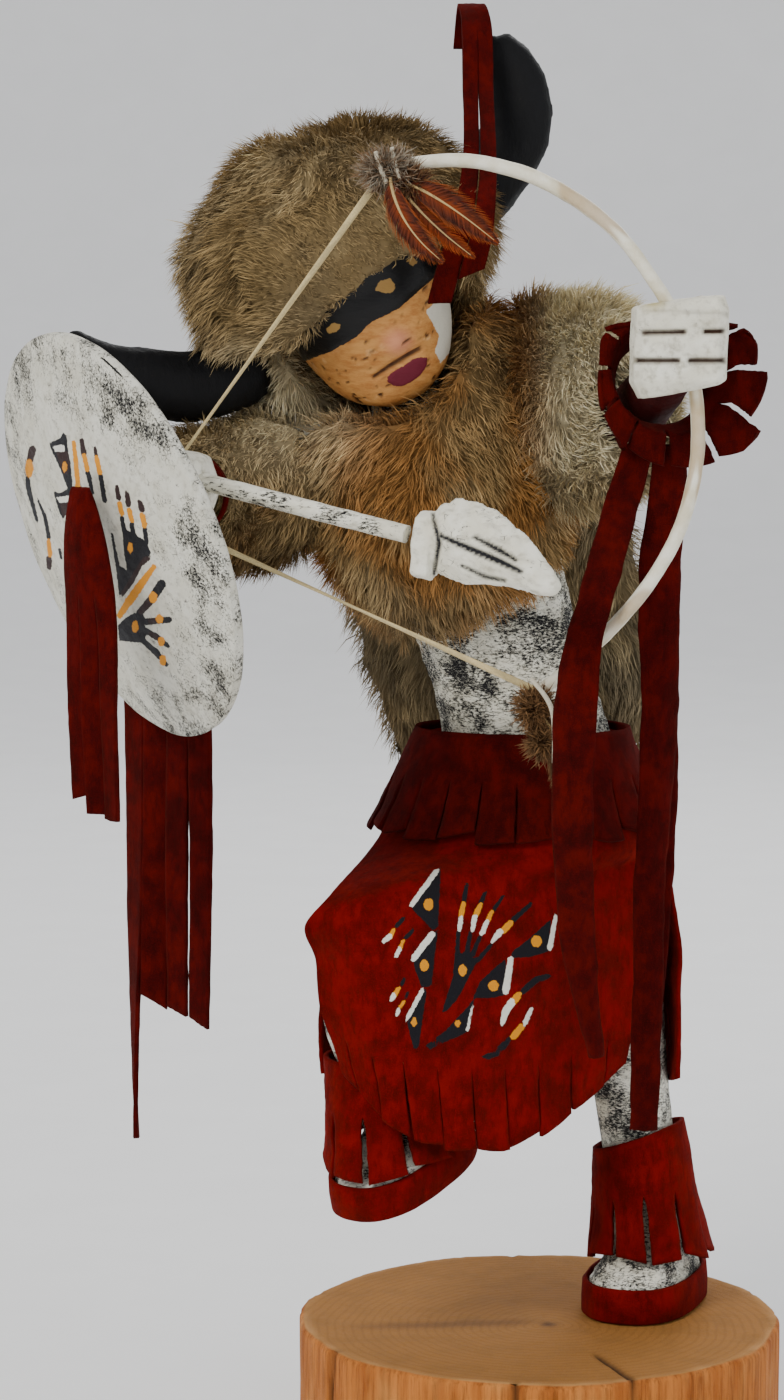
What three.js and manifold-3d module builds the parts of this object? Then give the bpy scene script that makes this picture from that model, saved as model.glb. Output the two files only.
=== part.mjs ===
// Carved and painted kachina doll: a dancer in a fur hood draws a bow, on a slice of debarked log.
// Millimetres, +Z up. The origin is the centre of the log's underside, and the dancer faces -Y.
import * as THREE from 'three';
import { mergeVertices } from 'three/addons/utils/BufferGeometryUtils.js';
import Module from 'manifold-3d';

const wasm = await Module();
wasm.setup();

// Driving dimensions
const baseRadius = 65;
const baseHeight = 45;
const figureHeight = 350;
const gap = 0.3;
const furClearance = 3.2;
const suede = 1.2;
const soleHeight = 9.5;
const bowThickness = 3.6;
const stringWidth = 2;
const arrowThickness = 4.4;
const shieldRadius = 52.5;
const shieldRim = 3.2;
const shieldBulge = 7;
const tieHoleRadius = 3.2;
const quillThickness = 1.2;
const vaneThickness = 0.8;

// The figure is laid out in shares of its height, counted up from the top of the log
const unit = figureHeight / 350;
const at = (x, y, z) => new THREE.Vector3(x * unit, y * unit, baseHeight + z * unit);
const up = new THREE.Vector3(0, 0, 1);
const toRight = new THREE.Vector3(1, 0, 0);

// Closed solids from points and triangles
function closedGeometry(points, triangles) {
  let volume = 0;
  for (const [a, b, c] of triangles) {
    volume += points[a].dot(points[b].clone().cross(points[c]));
  }
  const flat = [];
  for (const [a, b, c] of triangles) {
    for (const index of volume > 0 ? [a, b, c] : [a, c, b]) {
      flat.push(points[index].x, points[index].y, points[index].z);
    }
  }
  const geometry = new THREE.BufferGeometry();
  geometry.setAttribute('position', new THREE.Float32BufferAttribute(flat, 3));
  return mergeVertices(geometry, 1e-5);
}

function toSolid(geometry) {
  const plain = new THREE.BufferGeometry();
  plain.setAttribute('position', geometry.getAttribute('position').clone());
  if (geometry.index) {
    plain.setIndex(geometry.index.clone());
  }
  const merged = mergeVertices(plain, 1e-4);
  return new wasm.Manifold(new wasm.Mesh({
    numProp: 3,
    vertProperties: new Float32Array(merged.getAttribute('position').array),
    triVerts: new Uint32Array(merged.index.array),
  }));
}

function joined(geometries) {
  return geometries.map(toSolid).reduce((whole, next) => whole.add(next));
}

function cutBy(solid, cutters) {
  return cutters.reduce((rest, cutter) => rest.subtract(cutter), solid);
}

// Cutting can free small crumbs of fur, so the largest piece is the one that is kept
function largestPiece(solid) {
  const pieces = solid.decompose();
  return pieces.reduce((best, next) => (next.volume() > best.volume() ? next : best));
}

function toGeometry(solid) {
  const mesh = largestPiece(solid).getMesh();
  const geometry = new THREE.BufferGeometry();
  const flat = [];
  for (let i = 0; i < mesh.vertProperties.length; i += mesh.numProp) {
    flat.push(mesh.vertProperties[i], mesh.vertProperties[i + 1], mesh.vertProperties[i + 2]);
  }
  geometry.setAttribute('position', new THREE.Float32BufferAttribute(flat, 3));
  geometry.setIndex([...mesh.triVerts]);
  return geometry;
}

// A smooth row of values through the ones given, for positions and half sizes alike
function smooth(values, t) {
  const place = t * (values.length - 1);
  const i = Math.min(Math.floor(place), values.length - 2);
  const f = place - i;
  const before = values[Math.max(i - 1, 0)];
  const after = values[Math.min(i + 2, values.length - 1)];
  const [a, b] = [values[i], values[i + 1]];
  const m0 = (b - before) / 2;
  const m1 = (after - a) / 2;
  return (2 * f ** 3 - 3 * f ** 2 + 1) * a + (f ** 3 - 2 * f ** 2 + f) * m0
    + (3 * f ** 2 - 2 * f ** 3) * b + (f ** 3 - f ** 2) * m1;
}

// Round-ended limb, trunk or tuft. Each station is [x, y, z, half width, half depth], the width
// being measured along `across`. `grow` swells the whole form, for the hollow of what covers it,
// and `relief` gives the tufts or tool marks that stand out from it.
function limb({ stations, across = toRight, steps = 10, sides = 14, square = 2, blunt = 0.6,
  capRings = 1, grow = 0, relief = () => 0 }) {
  const column = (n) => stations.map((station) => station[n]);
  const centre = (t) => at(smooth(column(0), t), smooth(column(1), t), smooth(column(2), t));
  const points = [];
  const rings = [];
  for (let i = -capRings; i <= steps + capRings; i += 1) {
    const t = Math.min(Math.max(i / steps, 0), 1);
    const ahead = centre(Math.min(t + 0.01, 1));
    const along = ahead.sub(centre(Math.max(t - 0.01, 0))).normalize();
    const side = across.clone().addScaledVector(along, -across.dot(along)).normalize();
    const front = new THREE.Vector3().crossVectors(along, side);
    const wide = smooth(column(3), t) * unit + grow;
    const deep = smooth(column(4), t) * unit + grow;
    const past = Math.max(-i, i - steps, 0) / (capRings + 1);
    const shrink = Math.cos(past * Math.PI / 2);
    const reach = Math.sin(past * Math.PI / 2) * Math.min(wide, deep) * blunt;
    const middle = centre(t).addScaledVector(along, i < 0 ? -reach : reach);
    rings.push({ middle, along, side, front, wide: wide * shrink, deep: deep * shrink });
  }
  for (const { middle, side, front, wide, deep } of rings) {
    for (let k = 0; k < sides; k += 1) {
      const angle = 2 * Math.PI * k / sides;
      const [c, s] = [Math.cos(angle), Math.sin(angle)];
      const x = Math.sign(c) * Math.abs(c) ** (2 / square);
      const y = Math.sign(s) * Math.abs(s) ** (2 / square);
      const point = middle.clone().addScaledVector(side, wide * x).addScaledVector(front, deep * y);
      const outward = point.clone().sub(middle).normalize();
      points.push(point.clone().addScaledVector(outward, relief(point)));
    }
  }
  const ends = [rings[0], rings[rings.length - 1]].map((ring, end) => {
    const reach = Math.min(smooth(column(3), end), smooth(column(4), end)) * unit + grow;
    const past = reach * blunt * (1 - Math.sin(capRings / (capRings + 1) * Math.PI / 2));
    points.push(ring.middle.clone().addScaledVector(ring.along, end ? past : -past));
    return points.length - 1;
  });
  const triangles = [];
  for (let r = 0; r < rings.length - 1; r += 1) {
    for (let k = 0; k < sides; k += 1) {
      const next = (k + 1) % sides;
      const [a, b] = [r * sides + k, r * sides + next];
      triangles.push([a, b, b + sides], [a, b + sides, a + sides]);
    }
  }
  for (let k = 0; k < sides; k += 1) {
    const next = (k + 1) % sides;
    const last = (rings.length - 1) * sides;
    triangles.push([ends[0], next, k], [ends[1], last + k, last + next]);
  }
  return closedGeometry(points, triangles);
}

// Tufts of the fur: a soft lumpiness about a finger-tip across
function tufts(height, size) {
  const scale = 1 / (size * unit);
  return (point) => {
    const [x, y, z] = [point.x * scale, point.y * scale, point.z * scale];
    const coarse = Math.sin(x * 1.9 + Math.sin(z * 1.3) * 1.4) * Math.sin(z * 2.1 + y * 1.7);
    const fine = Math.sin(x * 4.1 + y * 3.3 + 1.2) * Math.sin(z * 4.7 - x * 2.2);
    return height * unit * (0.7 * coarse + 0.3 * fine);
  };
}

// Suede cut into strips below a band. `face` gives the side that lies nearest the body, and the
// sheet's thickness is added on its other side. `reach` is each strip's length as a share.
function fringedSuede({ face, strips, bandRows, cut = 1, stripRows = 0, slit = 0.1, closed = false,
  reach = () => 1, tip = () => 1, outward = 1 }) {
  const edges = [];
  const owner = [];
  const open = [];
  const clamped = (value) => Math.min(Math.max(value, 0), 1);
  const lay = (a, b) => face(closed ? (a + 1) % 1 : clamped(a), clamped(b));
  const pitch = 1 / strips;
  for (let k = 0; k < strips; k += 1) {
    const margin = slit * pitch / 2;
    const from = k * pitch + (k > 0 || closed ? margin : 0);
    const to = (k + 1) * pitch - (k < strips - 1 || closed ? margin : 0);
    edges.push(from, to);
    owner.push(k, k);
    open.push(false, true);
  }
  const columns = closed ? edges.length : edges.length - 1;
  const rows = bandRows + stripRows;
  const share = (r) => (r <= bandRows ? cut * r / bandRows : cut + (1 - cut) * (r - bandRows) / stripRows);
  const present = (c, r) => r >= 0 && r < rows && (closed || (c >= 0 && c < columns))
    && (r < bandRows || !open[(c + edges.length) % edges.length]);
  const points = [];
  const step = 0.004;
  for (let r = 0; r <= rows; r += 1) {
    for (let e = 0; e < edges.length; e += 1) {
      const below = Math.max(share(r) - cut, 0);
      const v = Math.min(share(r), cut) + below * reach(owner[e]);
      const middle = (owner[e] + 0.5) * pitch;
      const narrowing = r === rows && stripRows > 0 ? tip(owner[e]) : 1;
      const u = middle + (edges[e] - middle) * narrowing;
      const acrossCut = lay(u + step, v).sub(lay(u - step, v));
      const downCut = lay(u, v + step).sub(lay(u, v - step));
      const normal = acrossCut.cross(downCut).normalize().multiplyScalar(outward);
      const inner = lay(u, v);
      points.push(inner, inner.clone().addScaledVector(normal, suede));
    }
  }
  const corner = (c, r, side) => 2 * (r * edges.length + (c % edges.length)) + side;
  const triangles = [];
  const quad = (a, b, c, d) => triangles.push([a, b, c], [a, c, d]);
  for (let r = 0; r < rows; r += 1) {
    for (let c = 0; c < columns; c += 1) {
      if (!present(c, r)) {
        continue;
      }
      const [a, b] = [corner(c, r, 0), corner(c + 1, r, 0)];
      const [d, e] = [corner(c, r + 1, 0), corner(c + 1, r + 1, 0)];
      quad(a, b, e, d);
      quad(d + 1, e + 1, b + 1, a + 1);
      if (!present(c, r - 1)) {
        quad(b, a, a + 1, b + 1);
      }
      if (!present(c, r + 1)) {
        quad(d, e, e + 1, d + 1);
      }
      if (!present(c - 1, r)) {
        quad(a, d, d + 1, a + 1);
      }
      if (!present(c + 1, r)) {
        quad(e, b, b + 1, e + 1);
      }
    }
  }
  return closedGeometry(points, triangles);
}

// Side of a strip that follows a hand-set route, with its widths measured along `across`
function routedFace(route, widths, across) {
  return (u, v) => {
    const [x, y, z] = [0, 1, 2].map((n) => smooth(route.map((point) => point[n]), v));
    return at(x, y, z).addScaledVector(across, (u - 0.5) * smooth(widths, v) * unit);
  };
}

// Rod with a plain round section along a route
function rod(route, thickness, steps, sides = 8) {
  const curve = new THREE.CatmullRomCurve3(route.map(([x, y, z]) => at(x, y, z)));
  const section = new THREE.Shape();
  section.absarc(0, 0, thickness / 2, 0, 2 * Math.PI);
  return new THREE.ExtrudeGeometry(section, {
    extrudePath: curve, steps, curveSegments: sides / 2, bevelEnabled: false,
  });
}

// Log slice: a near-round, softly fluted block with a radial split
function logBase() {
  const sides = 36;
  const levels = [0, 0.035, 0.965, 1];
  const points = [];
  for (const level of levels) {
    const chamfer = level === 0 || level === 1 ? 0.985 : 1;
    for (let k = 0; k < sides; k += 1) {
      const angle = 2 * Math.PI * k / sides;
      const flutes = 1 + 0.006 * Math.sin(7 * angle + level) + 0.005 * Math.sin(13 * angle + 2);
      const radius = baseRadius * chamfer * flutes;
      points.push(new THREE.Vector3(radius * Math.cos(angle), radius * Math.sin(angle), level * baseHeight));
    }
  }
  const triangles = [];
  for (let r = 0; r < levels.length - 1; r += 1) {
    for (let k = 0; k < sides; k += 1) {
      const [a, b] = [r * sides + k, r * sides + (k + 1) % sides];
      triangles.push([a, b, b + sides], [a, b + sides, a + sides]);
    }
  }
  const top = (levels.length - 1) * sides;
  points.push(new THREE.Vector3(0, 0, 0), new THREE.Vector3(0, 0, baseHeight));
  for (let k = 0; k < sides; k += 1) {
    const next = (k + 1) % sides;
    triangles.push([points.length - 2, next, k], [points.length - 1, top + k, top + next]);
  }
  return closedGeometry(points, triangles);
}

// Trunk, both legs and both feet, carved as one. The feet are flat below.
const soles = [
  { centre: [29.5, 13.5], heading: [-0.34, -0.94], halfLength: 23.5, halfWidth: 13.5,
    bottom: gap / unit, pitch: 0 },
  { centre: [-36, -22.5], heading: [-0.575, -0.818], halfLength: 23, halfWidth: 12.2, bottom: 43, pitch: 15 },
];

// Frame of a sole: its toes point along local X, and its underside is at local Z = 0
function soleFrame({ centre, heading, bottom, pitch }) {
  const turn = new THREE.Euler(0, THREE.MathUtils.degToRad(pitch), Math.atan2(heading[1], heading[0]), 'ZYX');
  return new THREE.Matrix4().makeRotationFromEuler(turn).setPosition(at(centre[0], centre[1], bottom));
}

// Block with an oval outline, for the lower part of a foot and the band round it
function ovalBlock(sole, height, grow, drop = 0) {
  const sides = 18;
  const points = [];
  const levels = [[-drop, 1.02], [height, 1]];
  for (const [level, flare] of levels) {
    for (let k = 0; k < sides; k += 1) {
      const angle = 2 * Math.PI * k / sides;
      const [c, s] = [Math.cos(angle), Math.sin(angle)];
      const forward = (sole.halfLength * unit * flare + grow) * Math.sign(c) * Math.abs(c) ** 0.8;
      const aside = (sole.halfWidth * unit * flare + grow) * Math.sign(s) * Math.abs(s) ** 0.8;
      points.push(new THREE.Vector3(forward, aside, level));
    }
  }
  points.push(new THREE.Vector3(0, 0, levels[0][0]), new THREE.Vector3(0, 0, levels[1][0]));
  const triangles = [];
  for (let k = 0; k < sides; k += 1) {
    const next = (k + 1) % sides;
    triangles.push([k, next, sides + next], [k, sides + next, sides + k]);
    triangles.push([2 * sides, next, k], [2 * sides + 1, sides + k, sides + next]);
  }
  const frame = soleFrame(sole);
  return closedGeometry(points.map((point) => point.applyMatrix4(frame)), triangles);
}

const trunkStations = [[3, 3, 128, 19, 13.5], [0, 1, 146, 22, 15], [-6, 0, 163, 22.2, 15.3],
  [-12, 0, 186, 20, 15], [-22, 0, 220, 25, 16], [-30, -2, 240, 21, 13], [-37, -6, 251, 9, 9]];

// Room for the trunk inside the fur, plainer than the trunk itself
function trunkRoom(grow) {
  return toSolid(limb({ stations: trunkStations, steps: 7, sides: 8, grow }));
}

function bodySolid(grow = 0) {
  const trunk = limb({ stations: trunkStations, steps: 7, sides: 10, grow });
  const standingLeg = limb({
    stations: [[11, 4, 132, 13.5, 12.5], [16, 3, 113, 13.5, 13], [21, 3, 92, 12, 12], [24, 6, 66, 10.8, 11.5],
      [28, 9, 40, 10, 10], [30, 12, 14, 9.5, 10]],
    steps: 6, sides: 9, grow,
  });
  const instep = limb({
    stations: [[33.6, 24.6, 9, 11.6, 9], [30, 13, 11, 12, 10], [24.8, -1, 8.5, 11, 7.4]],
    across: new THREE.Vector3(0.94, -0.34, 0), steps: 3, sides: 10, square: 2.4, blunt: 0.7, grow,
  });
  const thigh = limb({
    stations: [[-8, 0, 132, 14.5, 14], [-27, -15, 120, 14.2, 14], [-46, -31, 104, 13, 13.5]],
    steps: 3, sides: 9, grow,
  });
  const shin = limb({
    stations: [[-47.5, -31, 103, 12.5, 12.5], [-46, -29, 86, 11.5, 11.5], [-36, -21, 52, 9, 9.5]],
    steps: 4, sides: 9, grow,
  });
  const raisedInstep = limb({
    stations: [[-28, -11.5, 54, 9, 8], [-36, -22.5, 52, 10.5, 9], [-44, -33.5, 47.5, 11, 7]],
    across: new THREE.Vector3(0.8, -0.6, 0), steps: 3, sides: 10, square: 2.4, blunt: 0.7, grow,
  });
  const blocks = soles.map((sole) => ovalBlock(sole, soleHeight + grow, grow, grow));
  const below = soles.map((sole) => {
    const box = new THREE.BoxGeometry(70 * unit, 70 * unit, 30 * unit);
    box.translate(0, 0, -15 * unit - grow);
    return toSolid(box.applyMatrix4(soleFrame(sole)));
  });
  return cutBy(joined([trunk, standingLeg, instep, thigh, shin, raisedInstep, ...blocks]), below);
}

// Suede band round the edge of a sole
function soleBand(sole) {
  const outer = toSolid(ovalBlock(sole, soleHeight - gap, gap + suede));
  return cutBy(outer, [toSolid(ovalBlock(sole, 2 * soleHeight, gap, soleHeight))]);
}

// Case mask of the head, turned to its left, leaning and looking down
const headPlace = new THREE.Matrix4().makeRotationFromEuler(new THREE.Euler(
  THREE.MathUtils.degToRad(20), THREE.MathUtils.degToRad(-23), THREE.MathUtils.degToRad(3), 'YXZ'));
headPlace.setPosition(at(-49, -22, 277.7));
const inHead = (x, y, z) => new THREE.Vector3(x * unit, y * unit, z * unit).applyMatrix4(headPlace);

function headSolid(grow = 0, sides = 16, steps = 10) {
  const profile = [[-31, -9, 7, 6], [-27, -4, 14, 14.5], [-20, -1.5, 18.5, 18.5], [-10, 0, 21.2, 20],
    [4, 0, 21.8, 20.3], [16, 0.5, 20, 19.5], [25, 1, 13, 13], [28, 1, 5, 5]];
  const points = [];
  for (let i = 0; i <= steps; i += 1) {
    const t = i / steps;
    const [z, y, wide, deep] = [0, 1, 2, 3].map((n) => smooth(profile.map((row) => row[n]), t));
    for (let k = 0; k < sides; k += 1) {
      const angle = 2 * Math.PI * k / sides;
      const [c, s] = [Math.cos(angle), Math.sin(angle)];
      const overLips = 1.1 * Math.max(0, -s) ** 4 * (z > -16 && z < 1 ? 1 : 0);
      const swell = grow / unit + overLips;
      points.push(inHead((wide + swell) * Math.sign(c) * Math.abs(c) ** 0.85,
        y + (deep + swell) * Math.sign(s) * Math.abs(s) ** 0.85, z + Math.sign(i - steps / 2) * grow));
    }
  }
  points.push(inHead(0, -9, -33 - grow), inHead(0, 1, 30 + grow));
  const triangles = [];
  for (let r = 0; r < steps; r += 1) {
    for (let k = 0; k < sides; k += 1) {
      const [a, b] = [r * sides + k, r * sides + (k + 1) % sides];
      triangles.push([a, b, b + sides], [a, b + sides, a + sides]);
    }
  }
  for (let k = 0; k < sides; k += 1) {
    const next = (k + 1) % sides;
    triangles.push([points.length - 2, next, k], [points.length - 1, steps * sides + k, steps * sides + next]);
  }
  return toSolid(closedGeometry(points, triangles));
}

// Arms under the fur: the one on the photograph's right holds the bow out, the other draws it
function bowArmSolid(grow = 0, sides = 8, steps = 6) {
  const arm = limb({
    stations: [[-3, 0, 240, 10, 10], [12, -26, 236, 9.5, 9.5], [22, -48, 245, 8, 8],
      [29, -68, 257, 7, 7]],
    steps, sides, grow,
  });
  return toSolid(arm);
}

const bowFist = { centre: [29.6, -79.5, 261.4], wide: 11.8, deep: 9, tall: 10.8 };
function bowFistSolid(grow = 0) {
  const { centre, wide, deep, tall } = bowFist;
  const [x, y, z] = centre;
  const top = z + tall;
  const block = limb({
    stations: [[x, y, z - tall, wide - 1.6, deep - 2], [x - 0.4, y, z - tall + 2.5, wide, deep],
      [x - 0.2, y, z, wide, deep], [x + 0.2, y, top - 2, wide, deep], [x, y, top, wide - 1, deep - 1]],
    steps: 4, sides: 12, square: 5, blunt: 0.06, grow,
  });
  const thumb = limb({
    stations: [[x + 2, y + 1, top - 2, 2.4, 2.6], [x + 7, y, top - 1.6, 3.4, 3.2],
      [x + 9.6, y, top - 3.6, 2, 3]],
    across: up, steps: 3, sides: 6, grow,
  });
  return joined([block, thumb]);
}

function drawingArmSolid(grow = 0, sides = 8, steps = 6) {
  const arm = limb({
    stations: [[-50, 0, 236, 10, 10], [-72, -6, 230, 10, 10], [-90, -16, 224, 9.5, 9.5],
      [-92, -38, 223, 8.5, 8.5], [-89, -58, 226, 7, 7]],
    across: up, steps, sides, grow,
  });
  const fist = limb({
    stations: [[-90, -60, 226, 8, 8.5], [-94, -69, 227, 10, 13], [-95, -78, 228, 8.5, 11.5]],
    across: up, steps: 2, sides, square: 3, grow,
  });
  return joined([arm, fist]);
}

// Horns: flat crescents, thick at the root
function rightHornSolid(grow = 0) {
  return toSolid(limb({
    stations: [[-29, 4, 287, 8.4, 7], [-18, 5, 299, 9.4, 7], [-9.4, 5, 310.5, 9.6, 6.5],
      [-6, 5, 322, 9, 6], [-9, 5, 332, 7.8, 5.2], [-14.4, 5, 339, 5.2, 4.2], [-18.8, 5, 342.4, 2.8, 2.8]],
    across: new THREE.Vector3(0.7, 0, -0.7), steps: 10, sides: 10, blunt: 0.7, grow,
  }));
}

function leftHornSolid(grow = 0) {
  return toSolid(limb({
    stations: [[-76, -14, 254, 9, 7], [-92, -22, 250, 9.6, 7], [-105, -29, 252.5, 8.6, 6.2],
      [-114, -33, 257, 5.6, 5], [-120, -36, 263, 2.6, 3]],
    across: up, steps: 8, sides: 10, blunt: 0.7, grow,
  }));
}

// Fur: the hood, the mantle over chest and shoulders, two sleeves, and the cape behind
function hoodSolid(grow = 0) {
  return toSolid(limb({
    stations: [[-71, -16, 256, 24, 26], [-66, -15, 264, 34, 35], [-55, -13, 278, 38, 40],
      [-43, -11, 292, 34, 40], [-38, -8, 303, 26, 30]],
    across: new THREE.Vector3(0.93, 0, 0.36), steps: 10, sides: 16, blunt: 0.5,
    relief: tufts(2.6, 17), grow,
  }));
}

// Face opening of the hood: its fur ends above the eyes and on a level with them beside the mask
function hoodOpening() {
  const outline = [[-60, -45], [26, -45], [26, 6], [8, 7], [-9, 4], [-22, -2], [-34, -3], [-44, 1], [-60, 8]];
  const shape = new THREE.Shape(outline.map(([x, z]) => new THREE.Vector2(x * unit, z * unit)));
  const slot = new THREE.ExtrudeGeometry(shape, { depth: 60 * unit, bevelEnabled: false });
  slot.rotateX(Math.PI / 2);
  slot.applyMatrix4(headPlace);
  return toSolid(slot);
}

function mantleSolid(grow = 0) {
  return toSolid(limb({
    stations: [[-15, 0, 190, 21, 18], [-22, -3, 208, 33, 25], [-28, -4, 230, 38, 28],
      [-31, -4, 250, 34, 28], [-33, -2, 265, 27, 22]],
    steps: 8, sides: 14, blunt: 0.35, relief: tufts(2.2, 15), grow,
  }));
}

function bowSleeveSolid(grow = 0) {
  return toSolid(limb({
    stations: [[-4, 2, 246, 22, 28], [8, -16, 246, 20, 28], [16, -34, 247, 18, 25.5], [20.5, -45, 249, 13, 20]],
    steps: 6, sides: 12, blunt: 0.4, relief: tufts(2, 14), grow,
  }));
}

function drawingSleeveSolid(grow = 0) {
  return toSolid(limb({
    stations: [[-48, 2, 234, 20, 18], [-68, -4, 226, 22, 20], [-86, -16, 221, 20, 18],
      [-91, -31, 221, 16, 15], [-91, -40, 222, 12, 12]],
    across: up, steps: 7, sides: 12, blunt: 0.4, relief: tufts(2, 14), grow,
  }));
}

function capeSolid(grow = 0) {
  return toSolid(limb({
    stations: [[-2, 33, 146, 36, 7], [-5, 32, 164, 38, 8.5], [-12, 28, 192, 41, 11],
      [-20, 24, 220, 42, 12], [-27, 19, 244, 34, 11]],
    steps: 7, sides: 12, blunt: 0.5, relief: tufts(2, 15), grow,
  }));
}

// Bow, string and arrow
const bowRoute = [[-41, -80, 304], [-27, -80, 305.6], [-15.2, -80, 304.5], [-2, -80, 300], [12.4, -80, 290.3],
  [21.8, -80, 279], [29.5, -80, 266], [33.2, -80, 252], [34.2, -80, 239.3], [33.1, -80, 228.2],
  [29.6, -80, 216.4], [23.4, -80, 205.2], [16.2, -80, 196], [6, -80, 185.8], [-4, -80, 177.5]];
const nock = [-100.7, -69.6, 221.1];
const bowSolid = (grow = 0) => toSolid(rod(bowRoute, bowThickness + 2 * grow, 22, 6));

function stringSolid(grow = 0) {
  const thickness = stringWidth + 2 * grow;
  const upper = rod([[-40.5, -80, 304.2], [-70.6, -74.8, 262.7], nock], thickness, 3, 6);
  const lower = rod([nock, [-52.4, -74.8, 199.5], [-4, -80, 177.8]], thickness, 3, 6);
  return joined([upper, lower]);
}

const arrowEnd = [-36, -98.5, 217.2];
const arrowSolid = (grow = 0) => toSolid(rod([[-97, -72.9, 231.4], [-66.5, -85.7, 224.3], arrowEnd],
  arrowThickness + 2 * grow, 6, 8));

// Arrow head: a knapped blade with a stem block behind it
function arrowHeadSolid() {
  const blade = limb({
    stations: [[-28, -102, 217, 8.2, 5], [-22, -104.5, 216, 10, 4.6], [-14, -108, 213, 8.2, 4.2],
      [-6, -112, 208.5, 4.6, 3.4], [-1.5, -114.2, 205.8, 2.2, 2.2]],
    across: up, steps: 6, sides: 8, square: 1.5, blunt: 0.5,
    relief: (point) => 0.35 * unit * Math.sin(point.x * 1.9 / unit),
  });
  const stem = limb({
    stations: [[-33.4, -99.6, 215, 8, 4.4], [-29.5, -101.3, 214.6, 8.4, 4.6]],
    across: up, steps: 1, sides: 8, square: 4, blunt: 0.15,
  });
  const stalk = limb({
    stations: [[-31, -100.8, 216, 6, 3.4], [-26, -103, 215.6, 6.4, 3.4]],
    across: up, steps: 1, sides: 6,
  });
  return joined([blade, stem, stalk]);
}

// Shield: a carved disc, bulging in front, tied on through a hole in its middle
const shieldCentre = at(-107.1, -70, 214.5);
const shieldFront = new THREE.Vector3(-0.813, -0.485, -0.322).normalize();
const shieldAcross = new THREE.Vector3().crossVectors(up, shieldFront).normalize();
const shieldUp = new THREE.Vector3().crossVectors(shieldFront, shieldAcross);
const shieldPlace = new THREE.Matrix4().makeBasis(shieldAcross, shieldUp, shieldFront);
shieldPlace.setPosition(shieldCentre);

function shieldSolid() {
  const rings = 4;
  const profile = [
    new THREE.Vector2(0, -shieldRim),
    new THREE.Vector2(shieldRadius * 0.97, -shieldRim),
    new THREE.Vector2(shieldRadius, -shieldRim * 0.7),
  ];
  for (let i = 0; i <= rings; i += 1) {
    const share = 1 - i / rings;
    profile.push(new THREE.Vector2(shieldRadius * share, shieldBulge * (1 - share ** 2)));
  }
  const disc = new THREE.LatheGeometry(profile, 28);
  disc.rotateX(Math.PI / 2);
  disc.applyMatrix4(shieldPlace);
  const hole = new THREE.CylinderGeometry(tieHoleRadius, tieHoleRadius, 4 * (shieldRim + shieldBulge), 10);
  hole.rotateX(Math.PI / 2);
  hole.applyMatrix4(shieldPlace);
  return toSolid(disc).subtract(toSolid(hole));
}

// Room for the shield's flat back, against which the drawing fist is glued
function shieldBack() {
  const room = new THREE.CylinderGeometry(shieldRadius, shieldRadius, shieldRim + gap, 16);
  room.rotateX(Math.PI / 2);
  room.translate(0, 0, -(shieldRim + gap) / 2);
  room.applyMatrix4(shieldPlace);
  return toSolid(room);
}

// Suede tassel that comes out of the shield's hole, folds over and hangs clear
function shieldTassel() {
  const hole = (out) => {
    const point = new THREE.Vector3(0, 0, out).applyMatrix4(shieldPlace);
    return [point.x / unit, point.y / unit, (point.z - baseHeight) / unit];
  };
  const neck = tieHoleRadius * 1.3 / unit;
  const route = [hole(-shieldRim / 2), hole(shieldBulge + 1), [-114, -82, 223], [-114, -90, 227],
    [-113.5, -93, 214], [-112, -93, 195], [-111.5, -92, 172], [-110.5, -91, 148]];
  const widths = [neck, neck, 4.5, 6, 13, 15.5, 15.5, 14.5];
  const face = routedFace(route, widths, new THREE.Vector3(0.8, -0.6, 0));
  return fringedSuede({ face, strips: 3, cut: 0.66, bandRows: 10, stripRows: 3, slit: 0.08,
    reach: (k) => [0.88, 0.96, 1][k] });
}

// Kilt: each layer of suede lies over the last, with a gap between
const layer = (n) => gap + n * (suede + gap);
function kiltPoint(angle, z, offset) {
  const fall = (160 - z) / 30;
  const [c, s] = [Math.cos(angle), Math.sin(angle)];
  const wide = (24 + (c < 0 ? 12.5 : 9.5) * fall) * unit + offset;
  const deep = (16.8 + (s < 0 ? 12.9 : 5) * fall) * unit + offset;
  return at(-5, 0, z).add(new THREE.Vector3(wide * c, deep * s, 0));
}

function belt() {
  const face = (u, v) => kiltPoint(2 * Math.PI * u, 160 - 27 * v, layer(2) + 1.2 * v * unit);
  const strips = 23;
  return fringedSuede({ face, strips, cut: 0.42, bandRows: 1, stripRows: 1, slit: 0.1, closed: true,
    outward: -1, reach: (k) => 0.93 + 0.07 * Math.sin(k * 2.4) });
}

// An apron starts round the waist, under the belt, and goes on by hand-set rows to its hem
function apronFace(angles, offset, hung) {
  const waist = [158, 145, 131];
  const rows = hung.map((row) => row.map((point) => at(...point)));
  const acrossRow = (row, u) => ['x', 'y', 'z'].map((key) => smooth(row.map((point) => point[key]), u));
  return (u, v) => {
    const angle = THREE.MathUtils.degToRad(smooth(angles, u));
    const grid = [...waist.map((z) => kiltPoint(angle, z, offset).toArray()),
      ...rows.map((row) => acrossRow(row, u))];
    return new THREE.Vector3(...[0, 1, 2].map((n) => smooth(grid.map((point) => point[n]), v)));
  };
}

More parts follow.
